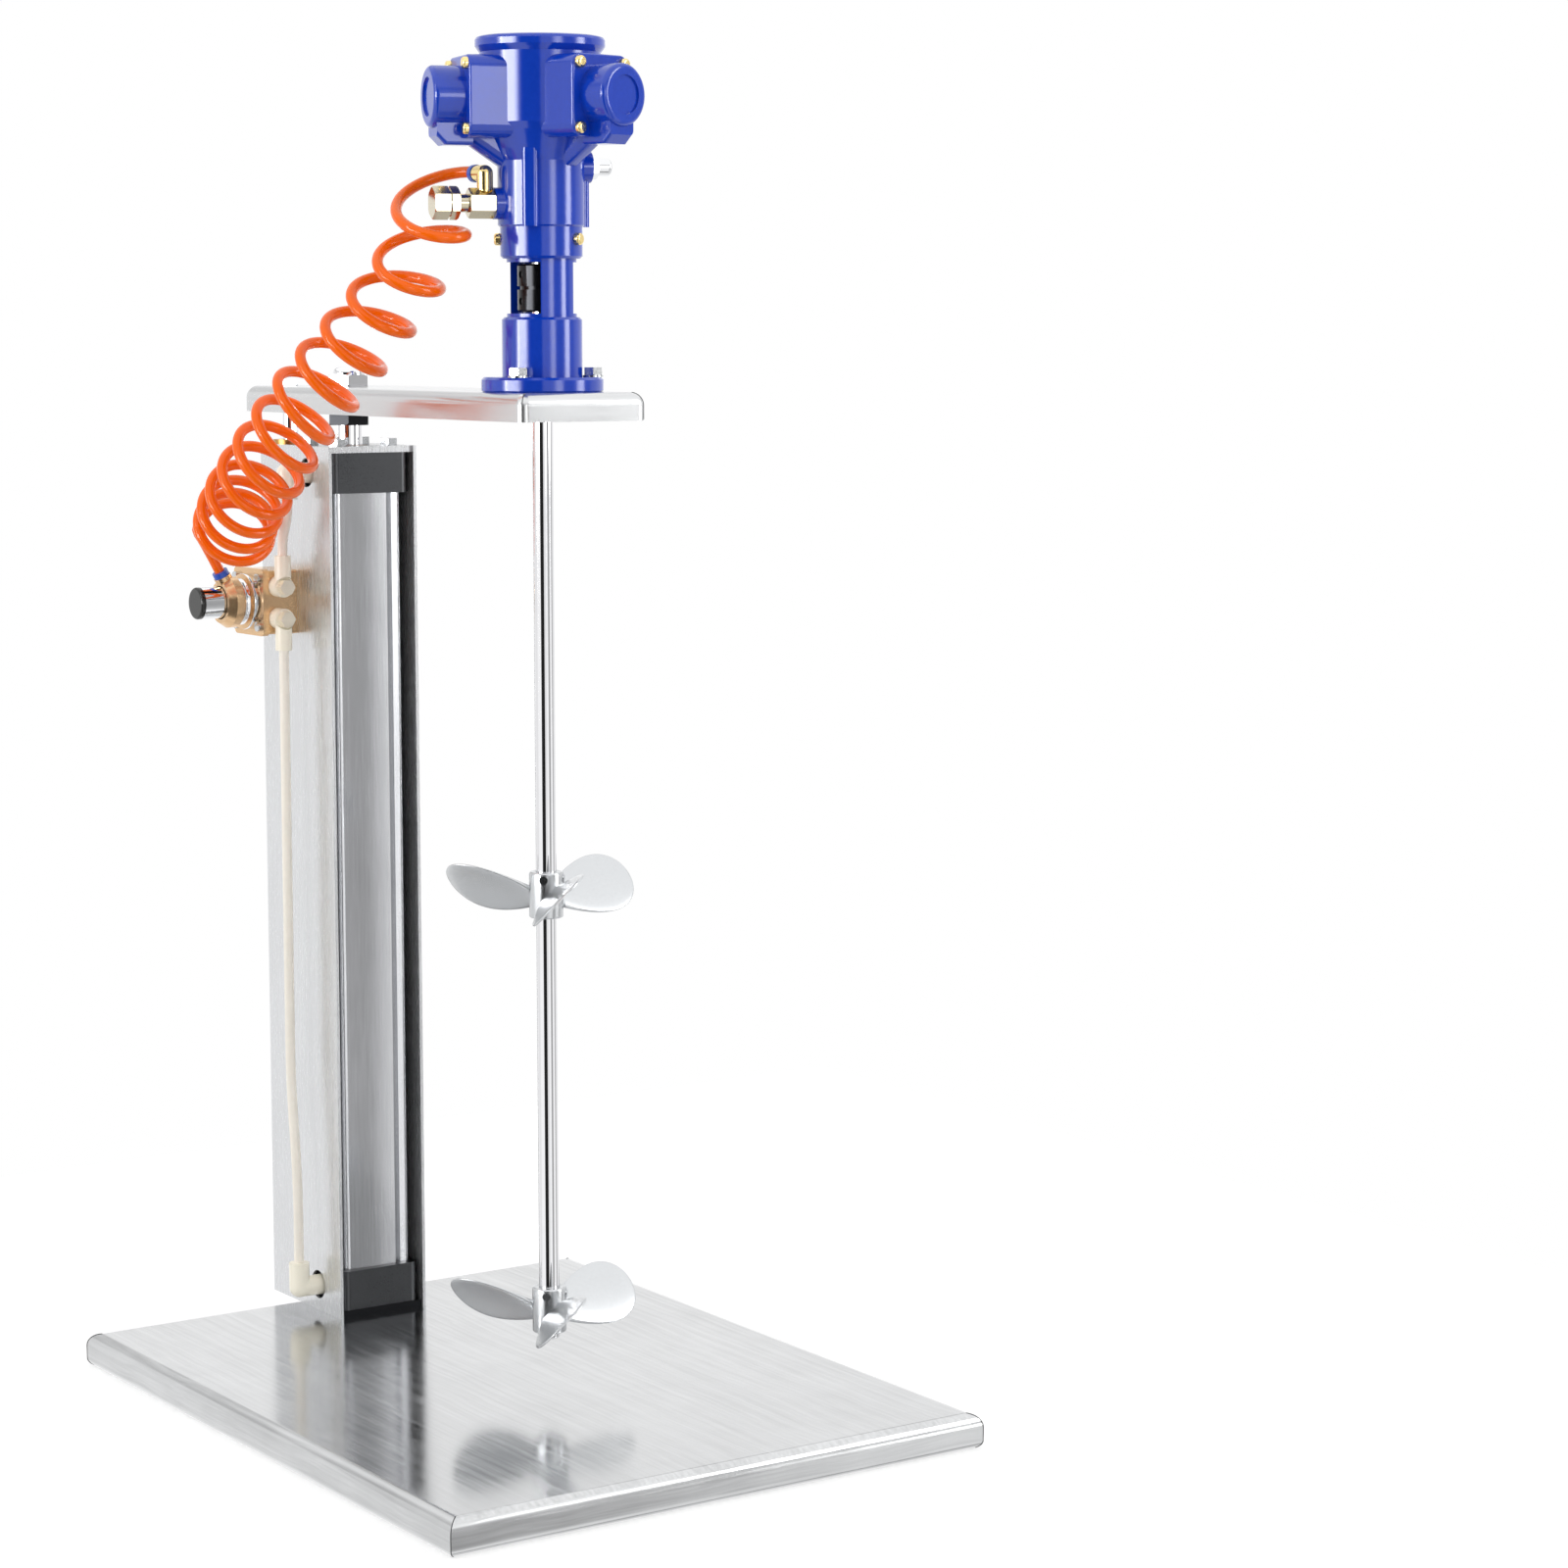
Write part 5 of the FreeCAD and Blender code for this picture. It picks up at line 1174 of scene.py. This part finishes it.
    def highest_level(self, tree: NodeTree, height: NodeSocket) -> NodeSocket:
        """Works out the brightest that the surroundings may be: the cap, but for the lights' band.

        Args:
            tree: The world's nodes.
            height: The third part of the direction.

        Returns:
            The highest level.
        """
        middle, half_band = self.strip_band
        off_band = add_node(tree, "Math", {"operation": "SUBTRACT"}, {0: height, 1: middle})
        distance = add_node(tree, "Math", {"operation": "ABSOLUTE"}, {0: off_band.outputs[0]})
        highest = add_node(
            tree,
            "MapRange",
            inputs={
                "Value": distance.outputs[0],
                "From Min": half_band,
                "From Max": half_band + self.strip_edge,
                "To Min": self.uncapped,
                "To Max": self.cap,
            },
        )
        return highest.outputs[0]

    def mirrored(self, tree: NodeTree) -> NodeSocket:
        """Works out what metal mirrors: the surroundings under their cap, and above them the overhead ramp.

        Args:
            tree: The world's nodes.

        Returns:
            The mirrored colour.
        """
        way = add_node(tree, "TexCoord").outputs["Generated"]
        height = add_node(tree, "SeparateXYZ", inputs={0: way}).outputs["Z"]
        capped = add_node(
            tree,
            "Math",
            {"operation": "MINIMUM"},
            {0: self.level_round(tree, way), 1: self.highest_level(tree, height)},
        )
        above = add_node(tree, "ValToRGB", inputs={"Fac": height})
        set_stops(above.color_ramp, list(self.overhead))
        lowest = self.overhead[0][0]
        rise = add_node(
            tree,
            "MapRange",
            inputs={"Value": height, "From Min": lowest - self.overhead_fade, "From Max": lowest},
        )
        both = add_node(
            tree,
            "Mix",
            {"data_type": "RGBA"},
            {"Factor": rise.outputs[0], COLOR_A: capped.outputs[0], COLOR_B: above.outputs["Color"]},
        )
        return both.outputs[COLOR_MIXED]

    def world(self) -> None:
        """Surrounds the object with white light that metal mirrors as a studio.

        Seen direct the surroundings are white, and matt pieces take an even light from them. Metal mirrors a
        dark zone at the camera, lights to its left and right, and a lamp overhead.
        """
        world = bpy.data.worlds.new("studio")
        bpy.context.scene.world = world
        tree = empty_nodes(world)
        ray = add_node(tree, "LightPath")
        unseen = add_node(
            tree,
            "Mix",
            {"data_type": "RGBA"},
            {
                "Factor": ray.outputs["Is Glossy Ray"],
                COLOR_A: grey(self.diffuse_level),
                COLOR_B: self.mirrored(tree),
            },
        )
        seen = add_node(
            tree,
            "Math",
            {"operation": "MAXIMUM"},
            {0: ray.outputs["Is Camera Ray"], 1: ray.outputs["Is Transmission Ray"]},
        )
        chosen = add_node(
            tree,
            "Mix",
            {"data_type": "RGBA"},
            {"Factor": seen.outputs[0], COLOR_A: unseen.outputs[COLOR_MIXED], COLOR_B: grey(1.0)},
        )
        light = add_node(tree, "Background", inputs={"Color": chosen.outputs[COLOR_MIXED]})
        add_node(tree, "OutputWorld", inputs={"Surface": light.outputs[0]})

    def build(self) -> None:
        """Sets up the camera, the floor, the surroundings and the lamps."""
        self.camera()
        self.floor()
        self.world()
        for lamp in self.lamps:
            lamp.hang()
        bpy.context.scene.view_settings.view_transform = "Standard"
        LOG.info("studio ready")


@dataclass
class PackedNodes:
    """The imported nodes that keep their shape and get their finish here."""

    nodes: dict[str, Object]

    def dress(self) -> dict[str, Material]:
        """Gives each node its finish.

        Returns:
            The materials by name.
        """
        made = {}
        for finish in FINISHES:
            made[finish.name] = finish.material()
            for name in finish.nodes:
                mesh = self.nodes[name].data
                mesh.materials.clear()
                mesh.materials.append(made[finish.name])
            LOG.info("%s on %d nodes", finish.name, len(finish.nodes))
        return made


def main() -> None:
    """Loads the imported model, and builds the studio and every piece."""
    logging.basicConfig(level=logging.INFO, format="%(name)s: %(message)s")
    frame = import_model()
    Studio().build()
    RecoilHose().build(ORANGE_HOSE.material())
    materials = PackedNodes(frame["nodes"]).dress()
    SeamShadeLines().build(frame["nodes"]["arm"])
    ValveSleeve().build(materials["polished_stainless"])
    MixingShaft().build(materials["polished_stainless"])
    # Each hub's foot stands this many millimetres above the floor.
    for name, bottom_mm in (("propeller_lower", 54.0), ("propeller_upper", 301.0)):
        Propeller(name, bottom_mm).build(materials["cast_stainless"])


if __name__ == "__main__":
    main()
